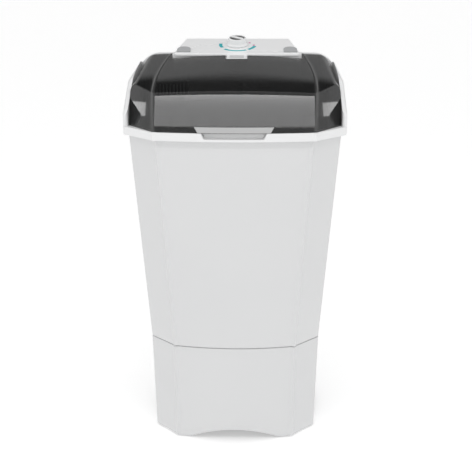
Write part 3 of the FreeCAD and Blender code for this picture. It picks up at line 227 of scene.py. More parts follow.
def lathe(profile: Sequence[Sequence[float]], steps: int = 96) -> Shell:
    """Turns a profile about Z: each point (r, z) becomes the ring (r cos a, r sin a, z).

    Args:
        profile: Radius and height of each point from the bottom middle to the top middle.
        steps: Points in each ring.

    Returns:
        A closed shell about the Z axis.
    """
    radius, height = np.asarray(profile, float).T
    angle = np.linspace(0.0, 2.0 * np.pi, steps, endpoint=False)
    rings = xyz(np.outer(radius, np.cos(angle)), np.outer(radius, np.sin(angle)), height[:, None])
    return Shell.grid(rings, Ends.FAN)


def cap(outline: Array, centre: Sequence[float], top: Callable[[Array, Array], Array],
        low: Array | float, insets: Sequence[float]) -> Shell:
    """Stands walls on an outline and closes them with a curved top.

    Ring k is centre + (outline - centre) * (1 - inset k), at the height top(x, y); below it the wall
    drops straight to low.

    Args:
        outline: Closed outline, star-shaped about centre.
        centre: The point that the rings shrink to.
        top: Height of the top as a function of x and y.
        low: Height of the bottom, one for all or one for each outline point.
        insets: Fractions that the rings shrink by, from 0 upwards.

    Returns:
        A closed shell.
    """
    middle = np.asarray(centre, float)
    shrink = 1.0 - np.asarray(insets, float)[:, None, None]
    rings = middle + (outline - middle)[None] * shrink
    height = top(rings[..., 0], rings[..., 1])
    wall = [at_height(outline, low + (height[0] - low) * share) for share in WALL_SHARES]
    return Shell.grid(np.concatenate([wall, at_height(rings, height)]), Ends.FAN)


def edge_distance(x: Array, y: Array, corners: Sequence[Sequence[float]]) -> Array:
    """Distance from points to the nearest line through two following corners, taken as positive inside.

    Args:
        x: X of the points.
        y: Y of the points.
        corners: An open run of corners, counter-clockwise round the inside.

    Returns:
        The smallest signed distance for each point.
    """
    corner = np.asarray(corners, float)
    nearest = np.full(np.shape(x), np.inf)
    for start, end in zip(corner[:-1], corner[1:]):
        heading = unit(end - start)
        nearest = np.minimum(nearest, heading[0] * (y - start[1]) - heading[1] * (x - start[0]))
    return nearest


def rounding(distance: Array, radius: float) -> Array:
    """Drop of a round edge: r - sqrt(r^2 - (r - d)^2) within r of the edge, and 0 further in."""
    inside = np.clip(radius - distance, 0.0, radius)
    return radius - np.sqrt(radius ** 2 - inside ** 2)


def smooth_step(value: Array, low: float, high: float) -> Array:
    """Goes from 0 at low to 1 at high as 3 t^2 - 2 t^3."""
    t = np.clip((value - low) / (high - low), 0.0, 1.0)
    return t * t * (3.0 - 2.0 * t)


def soft_min(a: Array, b: Array, radius: float) -> Array:
    """The smaller of two heights, with the fold between them rounded over about the radius."""
    gap = np.clip(0.5 + 0.5 * (b - a) / radius, 0.0, 1.0)
    return b + (a - b) * gap - radius * gap * (1.0 - gap)


def publish(piece: Object, body: str, finish: "Finish", *nodes: str) -> None:
    """Dresses a piece, puts it on its body and hides the CAD nodes that it stands for.

    Args:
        piece: The finished object.
        body: The CAD body that it rides on.
        finish: Its finish.
        *nodes: The CAD nodes that it replaces.
    """
    piece.data.materials.clear()
    piece.data.materials.append(finish.material())
    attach(piece, body)
    if nodes:
        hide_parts(*nodes)
    log.info("%s on %s, %d faces", piece.name, body, len(piece.data.polygons))


# Finishes

CLOUD_DETAIL, PIT_DETAIL, SCRAP_DETAIL = 4.0, 2.0, 3.0
CLOUD_RANGE = (0.2, 0.8)
EDGE_RANGE = (0.515, 0.58)
SCRAP_RANGE = (0.4, 0.65)
PIT_HEIGHT = 0.3 * MM
MIX_FACTOR, MIX_LOW, MIX_HIGH, MIX_RESULT = 0, 6, 7, 2


@dataclass
class Wiring:
    """Adds and joins nodes in one tree."""

    tree: bpy.types.NodeTree

    def add(self, kind: str, **settings: object) -> Node:
        """Adds a node and sets its plain properties."""
        node = self.tree.nodes.new(kind)
        for name, value in settings.items():
            setattr(node, name, value)
        return node

    def group(self, name: str) -> Node:
        """Adds one of the shared groups."""
        return self.add("ShaderNodeGroup", node_tree=bpy.data.node_groups[name])

    def shader(self) -> Node:
        """Gives the material's own shader."""
        return self.tree.nodes["Principled BSDF"]

    def fill(self, node: Node, values: dict[str, object]) -> None:
        """Sets inputs of a node to plain values."""
        for name, value in values.items():
            node.inputs[name].default_value = value

    def join(self, source: Node, output: str, target: Node, entry: str | int) -> None:
        """Links a named output to an input."""
        self.tree.links.new(source.outputs[output], target.inputs[entry])

    def split(self, kind: str, output: str) -> Node:
        """Adds a coordinate and splits it into X, Y and Z."""
        node = self.add("ShaderNodeSeparateXYZ")
        self.join(self.add(kind), output, node, 0)
        return node

    def noise(self, detail: float, scale: Port) -> Node:
        """Adds a noise texture on the object's coordinate, with its scale from a socket."""
        node = self.add("ShaderNodeTexNoise")
        self.fill(node, {"Detail": detail})
        self.join(self.add("ShaderNodeTexCoord"), "Object", node, "Vector")
        self.join(*scale, node, "Scale")
        return node

    def remap(self, source: Port, span: Pair, to: Pair = UNIT) -> Node:
        """Adds a clamped map from one range to another."""
        node = self.add("ShaderNodeMapRange")
        self.fill(node, {"From Min": span[0], "From Max": span[1], "To Min": to[0], "To Max": to[1]})
        self.join(*source, node, "Value")
        return node

    def math(self, operation: str, left: Port, right: Port | float) -> Node:
        """Adds a two-input sum."""
        node = self.add("ShaderNodeMath", operation=operation)
        self.join(*left, node, 0)
        if isinstance(right, tuple):
            self.join(*right, node, 1)
        else:
            node.inputs[1].default_value = right
        return node

    def mix(self, factor: Port, low: Socket, high: Socket | Colour) -> Socket:
        """Adds a mix from a colour to another, which may be a plain one, and gives its output."""
        node = self.add("ShaderNodeMix", data_type="RGBA")
        self.join(*factor, node, MIX_FACTOR)
        self.tree.links.new(low, node.inputs[MIX_LOW])
        if isinstance(high, tuple):
            node.inputs[MIX_HIGH].default_value = (*high, 1.0)
        else:
            self.tree.links.new(high, node.inputs[MIX_HIGH])
        return node.outputs[MIX_RESULT]


def node_group(name: str, inputs: dict[str, float | tuple[float, ...]],
               outputs: dict[str, str]) -> tuple[Wiring, Node, Node]:
    """Starts a shader node group with named sockets.

    Args:
        name: The group's name.
        inputs: Name and default of each input, which is a colour where the default is a tuple.
        outputs: Name and socket type of each output.

    Returns:
        The wiring of the empty group, its input node and its output node.
    """
    tree = bpy.data.node_groups.new(name, "ShaderNodeTree")
    for label, default in inputs.items():
        kind = "NodeSocketColor" if isinstance(default, tuple) else "NodeSocketFloat"
        tree.interface.new_socket(name=label, in_out="INPUT", socket_type=kind).default_value = default
    for label, kind in outputs.items():
        tree.interface.new_socket(name=label, in_out="OUTPUT", socket_type=kind)
    return Wiring(tree), tree.nodes.new("NodeGroupInput"), tree.nodes.new("NodeGroupOutput")


def build_grain_group() -> None:
    """Builds the moulded grain: broad clouds of tone and roughness, and the height of fine pits."""
    wire, entry, leave = node_group(
        "moulded_grain",
        {"Base": (0.8, 0.8, 0.8, 1.0), "Shade": (0.7, 0.7, 0.7, 1.0), "Cloud Scale": 5.0,
         "Pit Scale": 700.0, "Roughness Low": 0.3, "Roughness High": 0.4},
        {"Color": "NodeSocketColor", "Roughness": "NodeSocketFloat", "Height": "NodeSocketFloat"})
    cloud = wire.noise(CLOUD_DETAIL, (entry, "Cloud Scale"))
    pits = wire.noise(PIT_DETAIL, (entry, "Pit Scale"))
    tone = wire.remap((cloud, "Fac"), CLOUD_RANGE)
    colour = wire.mix((tone, "Result"), entry.outputs["Base"], entry.outputs["Shade"])
    wire.tree.links.new(colour, leave.inputs["Color"])
    span = wire.math("SUBTRACT", (entry, "Roughness High"), (entry, "Roughness Low"))
    part = wire.math("MULTIPLY", (span, "Value"), (tone, "Result"))
    rough = wire.math("ADD", (part, "Value"), (entry, "Roughness Low"))
    wire.join(rough, "Value", leave, "Roughness")
    wire.join(pits, "Fac", leave, "Height")


def build_wear_group() -> None:
    """Builds the edge wear: a mask from the mesh's pointiness, broken up by noise."""
    wire, entry, leave = node_group("edge_wear", {"Break-up": 90.0, "Amount": 0.5},
                                    {"Mask": "NodeSocketFloat"})
    edge = wire.remap((wire.add("ShaderNodeNewGeometry"), "Pointiness"), EDGE_RANGE)
    scrap = wire.remap((wire.noise(SCRAP_DETAIL, (entry, "Break-up")), "Fac"), SCRAP_RANGE)
    both = wire.math("MULTIPLY", (edge, "Result"), (scrap, "Result"))
    mask = wire.math("MULTIPLY", (both, "Value"), (entry, "Amount"))
    wire.join(mask, "Value", leave, "Mask")


def grey(value: float, warmth: float = 0.0) -> Colour:
    """A grey with a slight lean to warm or, below 0, to cool."""
    return (value * (1.0 + warmth), value, value * (1.0 - warmth))


@dataclass(frozen=True)
class Finish:
    """A surface's colour, gloss and grain."""

    name: str
    colour: Colour
    shade: Colour
    roughness: Pair
    metallic: float = 0.0
    pit_scale: float = 700.0
    pit_depth: float = 0.04
    specular: float = 0.5
    wear: float = 0.0
    worn: Colour = (0.9, 0.9, 0.9)
    slot: str = ""

    def label(self) -> str:
        """The material's name, which differs from that of the CAD's plain material."""
        return f"{self.name}_finish"

    def material(self) -> Material:
        """Gives the finish as a material, which is built at its first use."""
        return bpy.data.materials.get(self.label()) or self.build()

    def build(self) -> Material:
        """Builds the material: grain into colour, roughness and bump of a principled shader."""
        material = bpy.data.materials.new(self.label())
        material.use_nodes = True
        wire = Wiring(material.node_tree)
        shader, grain = wire.shader(), wire.group("moulded_grain")
        wire.fill(shader, {"Metallic": self.metallic, "Specular IOR Level": self.specular})
        wire.fill(grain, {"Base": (*self.colour, 1.0), "Shade": (*self.shade, 1.0),
                          "Pit Scale": self.pit_scale, "Roughness Low": self.roughness[0],
                          "Roughness High": self.roughness[1]})
        colour = grain.outputs["Color"]
        if self.wear > 0.0:
            wear = wire.group("edge_wear")
            wire.fill(wear, {"Amount": self.wear})
            colour = wire.mix((wear, "Mask"), colour, self.worn)
        wire.tree.links.new(colour, shader.inputs["Base Color"])
        wire.join(grain, "Roughness", shader, "Roughness")
        bump = wire.add("ShaderNodeBump")
        wire.fill(bump, {"Strength": self.pit_depth, "Distance": PIT_HEIGHT})
        wire.join(grain, "Height", bump, "Height")
        wire.join(bump, "Normal", shader, "Normal")
        return material


@dataclass(frozen=True)
class SmokedFinish(Finish):
    """Clear dark plastic that lets a part of the light through, with a painted highlight: a lighter line
    of colour along the lid's creases.
    """

    cover: float = 0.6
    edge_cover: float = 0.9
    # grey of the painted highlight, a lighter line of colour along the lid's creases
    painted_highlight: float = 0.1

    def build(self) -> Material:
        """Mixes the painted highlight into the colour and lets light through by the share of the cover.

        The piece's attributes painted_highlight and edge, where it has them, say where the painted
        highlight along the creases and the cheeks are.
        """
        material = Finish.build(self)
        wire = Wiring(material.node_tree)
        painted_highlight, edge = (wire.add("ShaderNodeAttribute", attribute_name=name) for name in ("painted_highlight", "edge"))
        base = wire.shader().inputs["Base Color"]
        # painted highlight: the base colour is lightened towards grey along the creases
        wire.tree.links.new(wire.mix((painted_highlight, "Fac"), base.links[0].from_socket, grey(self.painted_highlight)), base)
        cover = wire.remap((edge, "Fac"), UNIT, (self.cover, self.edge_cover))
        wire.join(cover, "Result", wire.shader(), "Alpha")
        return material


@dataclass(frozen=True)
class WovenFinish(Finish):
    """A fine square mesh: threads along X and Z, open between them."""

    pitch: float = 2.2 * MM
    thread: float = 0.45

    def build(self) -> Material:
        """Adds the weave's holes as alpha: max of two square waves on the object's X and Z."""
        material = Finish.build(self)
        wire = Wiring(material.node_tree)
        split = wire.split("ShaderNodeTexCoord", "Object")
        waves = []
        for axis in ("X", "Z"):
            phase = wire.math("DIVIDE", (split, axis), self.pitch)
            part = wire.math("FRACT", (phase, "Value"), 0.0)
            waves.append((wire.math("LESS_THAN", (part, "Value"), self.thread), "Value"))
        wire.join(wire.math("MAXIMUM", *waves), "Value", wire.shader(), "Alpha")
        return material


class Palette:
    """The machine's finishes."""

    BODY = Finish("body_white", grey(0.68, -0.004), grey(0.668, -0.006), (0.36, 0.42), pit_scale=420.0)
    RIM = Finish("rim_white", grey(0.80, -0.003), grey(0.79, -0.004), (0.28, 0.31), pit_depth=0.01)
    PANEL = Finish("panel_white", grey(0.85, -0.004), grey(0.84, -0.004), (0.26, 0.29), pit_depth=0.01)
    HANDLE = Finish("handle_white", grey(0.43, -0.003), grey(0.40, -0.003), (0.25, 0.35),
                    slot="panel_white")
    SMOKE = SmokedFinish("lid_smoke", grey(0.012, -0.02), grey(0.016, -0.02), (0.02, 0.035),
                         pit_scale=60.0, pit_depth=0.002, cover=0.74)
    TRIM = Finish("trim_grey", grey(0.42, -0.02), grey(0.36, -0.02), (0.45, 0.6), pit_scale=1500.0,
                  pit_depth=0.2)
    KNOB = Finish("knob_white", grey(0.84, -0.003), grey(0.80, -0.003), (0.2, 0.3))
    KNOB_DARK = Finish("knob_dark", grey(0.03, -0.02), grey(0.045, -0.02), (0.35, 0.5))
    TEAL = Finish("dial_teal", (0.02, 0.36, 0.40), (0.03, 0.42, 0.45), (0.4, 0.5))
    ROSE = Finish("dial_rose", (0.55, 0.08, 0.30), (0.60, 0.11, 0.34), (0.4, 0.5))
    INLAY = Finish("tongue_grey", grey(0.55, -0.005), grey(0.5, -0.005), (0.35, 0.45),
                   slot="panel_white")
    RUBBER = Finish("foot_rubber", grey(0.022), grey(0.04), (0.65, 0.85), pit_scale=1800.0,
                    pit_depth=0.35)
    STEEL = Finish("steel", grey(0.55, -0.01), grey(0.42, -0.01), (0.25, 0.45), metallic=1.0,
                   pit_scale=1500.0, pit_depth=0.1, wear=0.4)
    PLATE = Finish("plate_metal", grey(0.05, -0.03), grey(0.075, -0.03), (0.4, 0.6), wear=0.6,
                   worn=grey(0.35))
    MOTOR = Finish("motor_metal", grey(0.10, -0.04), grey(0.14, -0.04), (0.4, 0.55), wear=0.6,
                   worn=grey(0.4))
    TIMER = Finish("timer_plastic", grey(0.02), grey(0.035), (0.4, 0.6))
    IMPELLER = Finish("impeller_plastic", grey(0.58, -0.03), grey(0.50, -0.03), (0.25, 0.4))
    BEARING = Finish("bearing_plastic", grey(0.10, -0.03), grey(0.13, -0.03), (0.5, 0.65),
                     pit_depth=0.15)
    BRASS = Finish("bush_brass", (0.60, 0.38, 0.13), (0.48, 0.28, 0.09), (0.25, 0.4), metallic=1.0,
                   wear=0.3, worn=(0.8, 0.6, 0.3))
    ALLOY = Finish("pulley_alloy", grey(0.56, -0.01), grey(0.44, -0.01), (0.35, 0.5), metallic=1.0,
                   wear=0.4)
    FILTER = Finish("filter_plastic", grey(0.16, -0.02), grey(0.13, -0.02), (0.3, 0.45))
    MESH = WovenFinish("mesh_fabric", grey(0.10), grey(0.15), (0.6, 0.8), pit_depth=0.3)
    FLOOR = Finish("studio_floor", grey(0.9), grey(0.89), (0.6, 0.7), pit_depth=0.0, specular=0.1)


# Shared sizes of the body, in millimetres

AXIS_Y = 9.0
FRONT_BOW = 18.0
SEAM_Z = 262.0
BODY_TOP_Z = 800.0
RIM_TOP_Z = 820.0
RIM_HALF = 270.0
DECK_FRONT_Y = 108.0
WELL_BACK_Y = 152.0
RIM_BACK_Y = 279.0
CONSOLE_HALF = 172.0
CHAMFER_STEP = 2.0 - math.sqrt(2.0)
PANEL_TURN = math.radians(14.0)
PANEL_FRONT = (0.0, 105.0, 966.0)
PANEL_RISE = math.tan(PANEL_TURN)
KNOB_ALONG = 74.0
BEAD_HEIGHT = 4.5
BEAD_WIDTH = 5.0
FRONT_ROUNDS = (6.0, 16.0)
REAR_ROUND = 20.0
PLAN_COUNTS = (100, 24, 40, 6, 14)
CROWDED_RUN = 1


def bowed_path(corners: Sequence[Pair], radii: Sequence[float]) -> Array:
    """Draws a plan from its front middle round to its rear middle, with a bowed front.

    The front is moved forward by bow * (1 - (x / crease)^2), the crease being the second corner.

    Args:
        corners: The plan's corners in order.
        radii: One radius for each inner corner.

    Returns:
        An array of points.
    """
    path = rounded_path(corners, radii, PLAN_COUNTS, CROWDED_RUN)
    crease = corners[1][0]
    ahead = (path[:, 0] < crease) & (path[:, 1] < AXIS_Y)
    path[:, 1] -= np.where(ahead, FRONT_BOW * (1.0 - (path[:, 0] / crease) ** 2), 0.0)
    return path


def panel_height(y: Array) -> Array:
    """Height of the panel's slope at y."""
    return PANEL_FRONT[2] + PANEL_RISE * (y - PANEL_FRONT[1])


@dataclass(frozen=True)
class Plan:
    """The body's plan at one height: a square with chamfered corners and a bowed front."""

    half: float
    corner: float
    z: float

    def outline(self, inset: float = 0.0, beaded: bool = False) -> Array:
        """Draws the plan as a closed loop from the front middle.

        The bead is a push of height * exp(-(d / width)^2) along the line that halves the corner, d
        being the distance to the crease.

        Args:
            inset: How far the plan is set in.
            beaded: Whether the front creases carry their bead.

        Returns:
            An array of points.
        """
        half = self.half - inset
        corner = self.corner - inset * CHAMFER_STEP
        front, back, crease = AXIS_Y - half, AXIS_Y + half, half - corner
        path = bowed_path([(0.0, front), (crease, front), (half, front + corner),
                           (half, back - corner), (crease, back), (0.0, back)],
                          [*FRONT_ROUNDS, REAR_ROUND, REAR_ROUND])
        if beaded:
            distance = np.hypot(path[:, 0] - crease, path[:, 1] - front)
            push = unit(np.array([0.0, -1.0]) + np.array([1.0, -1.0]) / math.sqrt(2.0))
            path += np.outer(BEAD_HEIGHT * np.exp(-(distance / BEAD_WIDTH) ** 2), push)
        return mirrored(path)


@dataclass(frozen=True)
class Taper:
    """A body that runs straight from one plan up to another."""

    low: Plan
    high: Plan

    def ring(self, inset: float, z: Array | float, beaded: bool = False) -> Array:
        """Gives the loop at z: low + (high - low) * (z - low z) / (high z - low z) for each point.

        Args:
            inset: How far the loop is set in.
            z: One height for the loop, or one for each of its points.
            beaded: Whether the front creases carry their bead.

        Returns:
            An array of points in space.
        """
        start, end = self.low.outline(inset, beaded), self.high.outline(inset, beaded)
        share = (np.reshape(z, (-1, 1)) - self.low.z) / (self.high.z - self.low.z)
        return at_height(start + (end - start) * share, z)

    def rings(self, steps: Sequence[tuple[float, Array | float]], beaded: bool = False) -> list[Array]:
        """Gives a loop for each pair of an inset and a height."""
        return [self.ring(inset, z, beaded) for inset, z in steps]


FOOT = Plan(211.5, 62.0, 4.0)
SEAM = Plan(218.0, 66.0, SEAM_Z)
TOP = Plan(257.0, 73.0, BODY_TOP_Z)
RIM = Plan(RIM_HALF, TOP.corner + (RIM_HALF - TOP.half) * CHAMFER_STEP, BODY_TOP_Z)


def prism(outline: Array, x_low: float, x_high: float, round_off: float = 0.8) -> Shell:
    """Carries an outline in y and z along X, with its two ends rounded off.

    Args:
        outline: Closed outline of (y, z) points, star-shaped about its mean.
        x_low: Where it starts.
        x_high: Where it ends.
        round_off: How much the ends are drawn in.

    Returns:
        A closed shell.
    """
    middle = outline.mean(0)
    reach = np.linalg.norm(outline - middle, axis=1).max()
    rings = [xyz(x, *(middle + (outline - middle) * (1.0 - inset / reach)).T)
             for x, inset in ((x_low, round_off), (x_low + round_off, 0.0),
                              (x_high - round_off, 0.0), (x_high, round_off))]
    return Shell.grid(rings, Ends.FAN)


def oblong(low: Sequence[float], high: Sequence[float], radius: float) -> Array:
    """A rectangle with round corners, as a closed loop of points."""
    (a, b), (c, d) = low, high
    middle = (a + c) / 2.0
    corners = [(middle, b), (c, b), (c, d), (a, d), (a, b), (middle, b)]
    return rounded_path(corners, [radius] * 4, [4] * 5)[:-1]


def turned(axis: int, angle: float) -> Array:
    """Gives the matrix of a turn about one of the axes 0, 1 and 2."""
    first, second = (axis + 1) % 3, (axis + 2) % 3
    matrix = np.eye(3)
    matrix[first, first] = matrix[second, second] = math.cos(angle)
    matrix[second, first] = math.sin(angle)
    matrix[first, second] = -matrix[second, first]
    return matrix


def on_panel(shell: Shell, along: float, up: float = 0.0) -> Shell:
    """Stands a shell, drawn about the origin, on the panel's slope.

    Args:
        shell: The shell, with its Z standing for the way up from the panel.
        along: Distance up the slope from the panel's front edge.
        up: Distance from the panel.

    Returns:
        The moved shell.
    """
    turn = turned(0, PANEL_TURN)
    return shell.moved(turn, np.asarray(PANEL_FRONT) + turn @ np.array([0.0, along, up]))


# Cabinet

@dataclass
class Tub:
    """The tapered wash tub. Edges are given as pairs of an inset and a height."""

    wall: float = 4.0
    floor_z: float = 290.0
    floor_low_z: float = 284.0
    floor_round: float = 36.0
    hole: float = 17.2
    land: float = 14.0
    foot_edge: Pairs = ((1.5, SEAM_Z), (0.4, SEAM_Z + 0.5), (0.0, SEAM_Z + 2.0))
    top_edge: Pairs = ((0.0, BODY_TOP_Z - 1.0), (0.8, BODY_TOP_Z))
    wall_top_z: float = BODY_TOP_Z - 6.0
    inner_z: Floats = (BODY_TOP_Z, BODY_TOP_Z - 5.0, 640.0, 480.0)
    floor_shares: Floats = (0.12, 0.3, 0.5, 0.7, 0.86, 0.96, 1.0)
    under_shares: Floats = (1.0, 0.8, 0.4, 0.0)

    def rings(self) -> list[Array]:
        """Gives the tub's loops: up the outside, down the inside to the floor's hole, and back below."""
        taper = Taper(SEAM, TOP)
        straight = [(0.0, z) for z in np.linspace(self.floor_z, self.wall_top_z, 9)]
        rings = taper.rings([*self.foot_edge, *straight, *self.top_edge], True)
        rings += taper.rings([(self.wall, z) for z in self.inner_z])
        rings += taper.rings([(self.wall + inset, self.floor_z + rise)
                              for inset, rise in fillet(self.floor_round, 8)])
        edge, under = rings[-1], taper.ring(self.land, self.floor_low_z)
        rings += [self.blend(edge, share, self.floor_z) for share in self.floor_shares]
        rings += [self.blend(under, share, self.floor_low_z) for share in self.under_shares]
        return [*rings, taper.ring(self.land, SEAM_Z)]

    def blend(self, edge: Array, share: float, z: float) -> Array:
        """Gives a loop on the floor, from the edge at share 0 to the hole's circle at share 1.

        With s the way from the floor's centre to the edge, it is centre + (1 - f) s + f hole s / |s|.
        """
        centre = np.array([0.0, AXIS_Y])
        spoke = edge[:, :2] - centre
        circle = self.hole * spoke / np.linalg.norm(spoke, axis=1, keepdims=True)
        return at_height(centre + spoke * (1.0 - share) + circle * share, z)

    def build(self) -> None:
        """Builds and dresses the tub."""
        shell = Shell.grid(self.rings(), Ends.JOINED)
        publish(shell.to_object("wash_tub_body"), "cabinet", Palette.BODY, "wash_tub")


@dataclass
class Skirt:
    """The base skirt with an arch in each side and a socket over each foot.

    Bends are given as pairs of an inset and a distance from the edge.
    """

    wall: float = 4.0
    top_z: float = 260.0
    ledge: float = 14.0
    ledge_z: float = 250.0
    edge: float = 2.0
    edge_inset: float = 1.0
    foot_bend: Pair = (0.2, 0.8)
    top_bend: Pairs = ((0.3, 0.5), (1.2, 0.0))
    outer_shares: Pair = (0.1, 1.0)
    inner_shares: Floats = (0.7, 0.35, 0.0)
    arch_half: float = 122.0
    side_arch_half: float = 100.0
    arch_height: float = 28.0
    foot_place: float = 159.5
    socket: float = 27.7
    socket_top: float = 22.0

    def arch(self, place: Array, half: float) -> Array:
        """Height of an arch: sqrt(r^2 - p^2) - r + h, r being (half^2 + h^2) / (2 h), and 0 past it."""
        radius = (half ** 2 + self.arch_height ** 2) / (2.0 * self.arch_height)
        inside = np.clip(np.abs(place), 0.0, half)
        rise = np.sqrt(radius ** 2 - inside ** 2) - radius + self.arch_height
        return np.where(np.abs(place) < half, rise, 0.0)

    def foot_line(self, loop: Array) -> Array:
        """Height of the skirt's bottom edge round the loop, never below the top of the feet."""
        across = self.arch(loop[:, 0], self.arch_half)
        along = self.arch(loop[:, 1] - AXIS_Y, self.side_arch_half)
        return np.maximum(FOOT.z, np.maximum(across, along))

    def build_wall(self) -> Shell:
        """Builds the wall as one closed sheet, up the outside, round the ledge and down the inside."""
        taper = Taper(FOOT, Plan(SEAM.half, SEAM.corner, self.top_z))
        low = self.foot_line(FOOT.outline())
        straight, inner_z = low + self.edge, self.ledge_z - self.edge
        bend, rise = self.foot_bend
        outside = [(self.edge_inset, low), (bend, low + rise), (0.0, straight),
                   *[(0.0, straight + (self.top_z - 2.0 * self.edge - low) * t)
                     for t in np.linspace(*self.outer_shares, 8)],
                   *[(inset, self.top_z - drop) for inset, drop in self.top_bend]]
        inside = [(self.wall, self.top_z), (self.wall, SEAM_Z), (self.ledge, SEAM_Z),
                  (self.ledge, self.ledge_z), (self.wall, inner_z),
                  *[(self.wall, straight + (inner_z - self.edge - low) * t) for t in self.inner_shares],
                  (self.wall - self.edge_inset, low)]
        return Shell.grid(taper.rings(outside, True) + taper.rings(inside), Ends.JOINED)

    def build(self) -> None:
        """Builds the wall and the sockets and dresses them."""
        edge, places = self.edge_inset, (-self.foot_place, self.foot_place)
        pot = lathe([(self.socket - edge, FOOT.z), (self.socket, FOOT.z + edge),
                     (self.socket, self.socket_top - edge), (self.socket - edge, self.socket_top)], 48)
        pots = [pot.moved(np.eye(3), (x, AXIS_Y + y, 0.0)) for x in places for y in places]
        shell = Shell.joined([self.build_wall(), *pots])
        publish(shell.to_object("skirt_body"), "cabinet", Palette.BODY, "base_skirt")


@dataclass
class Housing:
    """The rim, its arms, the deck behind the lid and the splash wall."""

    mouth_half: float = 247.0
    mouth_corner: float = 67.1
    mouth_notch: float = 6.0
    mouth_round: float = 2.0
    scoop_half: float = 75.0
    scoop_low: float = 68.0
    scoop_depth: float = 13.0
    scoop_z: float = 806.0
    scoop_back_y: float = -100.0
    scoop_side: Pair = (-1.0, 1.0)
    scoop_sill: Pair = (-0.2, 1.0)
    rim_edge: Pairs = ((1.2, 800.0), (0.3, 800.4), (0.0, 801.5))
    rim_z: Floats = (804.0, 805.8, 806.2, 806.6, 807.0, 810.0, 814.0)
    rim_round: float = 3.0
    rim_tuck: float = 1.0
    tuck_run: Pair = (2.0, 8.0)
    lip: float = 1.0
    lip_z: Floats = (819.0, 810.0, 800.0)
    arm_inner: float = 257.5
    arm_low_z: float = 801.0
    arm_front_y: float = -180.0
    arm_middle_y: float = -59.9
    arm_back_y: float = 152.9
    arm_nose: float = 6.0
    arm_shares: Floats = (0.0, 0.04, 0.5, 0.95)
    arch_tops: Floats = (856.0, 920.0, 972.0, 950.0)
    arch_rounds: Floats = (12.0, 10.0, 64.0, 64.0)
    deck_step: float = 0.4
    deck_corner: Pair = (189.4, 198.4)
    deck_rounds: Floats = (3.0, 3.0, 1.0, REAR_ROUND, REAR_ROUND)
    deck_counts: tuple[int, ...] = (24, 10, 24, 10, 14, 24)
    deck_clear: float = 1.0
    deck_edge: float = 10.0
    deck_lip: float = 3.0
    deck_middle_y: float = 190.0
    deck_low_z: float = 800.5
    deck_insets: Floats = (0.0, 0.002, 0.006, 0.012, 0.02, 0.035, 0.055, 0.08, 0.12, 0.18, 0.25, 0.35,
                           0.5, 0.7, 0.97)
    panel_depth: float = 5.0
    splash_half: float = 245.5
    splash_wall: float = 3.0
    splash_low_z: float = RIM_TOP_Z - 1.0
    splash_top_z: float = 900.0
    splash_round: float = 1.2

    def arch(self, x: Array, y: Array) -> Array:
        """Height of the arched form: top - r + sqrt(r^2 - (|x| - half + r)^2) over the shoulder.

        Its top and the shoulder's radius r run straight from each station along y to the next.
        """
        stations = [self.arm_front_y, self.arm_middle_y, DECK_FRONT_Y, RIM_BACK_Y]
        top, radius = (np.interp(y, stations, values) for values in (self.arch_tops, self.arch_rounds))
        over = np.clip(np.abs(x) - RIM_HALF + radius, 0.0, radius)
        return top - radius + np.sqrt(np.maximum(radius ** 2 - over ** 2, 0.0))

    def mouth(self) -> Array:
        """Draws the rim's opening, point for point with the rim's own plan."""
        half, corner, notch = self.mouth_half, self.mouth_corner, self.mouth_notch
        front = AXIS_Y - half
        return mirrored(bowed_path(
            [(0.0, front), (half - corner, front), (half, front + corner),
             (half, DECK_FRONT_Y - notch), (half - notch, DECK_FRONT_Y), (0.0, DECK_FRONT_Y)],
            [*FRONT_ROUNDS, self.mouth_round, self.mouth_round]))

    def rim_ring(self, inset: float, z: float) -> Array:
        """Gives a loop of the rim's outside, pushed back at the finger scoop and set in under the arms.

        The push is depth * s(half - |x|) * s(z - low), where s is a smooth step within about 1 mm and
        half grows up the scoop.
        """
        loop = RIM.outline(inset, True)
        half = np.interp(z, [self.scoop_z, RIM_TOP_Z], [self.scoop_low, self.scoop_half])
        inside = smooth_step(half - np.abs(loop[:, 0]), *self.scoop_side)
        inside *= loop[:, 1] < self.scoop_back_y
        loop[:, 1] += self.scoop_depth * inside * smooth_step(z - self.scoop_z, *self.scoop_sill)
        hidden = smooth_step(loop[:, 1] - self.arm_front_y, *self.tuck_run)
        centre = np.array([0.0, AXIS_Y])
        shrink = 1.0 - hidden * self.rim_tuck / RIM_HALF
        return at_height(centre + (loop - centre) * shrink[:, None], z)

    def build_rim(self) -> Shell:
        """Builds the flat ring round the tub's mouth."""
        steps = [*self.rim_edge, *[(0.0, z) for z in self.rim_z],
                 *[(inset, RIM_TOP_Z - drop) for inset, drop in fillet(self.rim_round, 6)]]
        rings = [self.rim_ring(inset, z) for inset, z in steps]
        mouth = self.mouth()
        lip = mouth.copy()
        lip[:, 1] -= np.where(lip[:, 1] < 0.0, self.lip, 0.0)
        lip[:, 0] += np.sign(lip[:, 0]) * self.lip
        rings += [at_height(lip, RIM_TOP_Z), *[at_height(mouth, z) for z in self.lip_z]]
        return Shell.grid(rings, Ends.JOINED)

    def arm_section(self, y: float, inset: float) -> Array:
        """Draws an arm's section at y: up its inside, over the shoulder and down its outside."""
        inner, outer, low = self.arm_inner + inset, RIM_HALF - inset, self.arm_low_z + inset
        x = inner + (outer - inner) * np.sin(np.linspace(0.0, math.pi / 2.0, 14))
        crown = self.arch(np.minimum(x + inset, RIM_HALF), np.asarray(y)) - inset
        share = np.array(self.arm_shares)
        across = np.concatenate([np.full(len(share), inner), x, np.full(len(share), outer)])
        up = np.concatenate([low + (crown[0] - low) * share, crown,
                             low + (crown[-1] - low) * share[::-1]])
        return xyz(across, y, up)

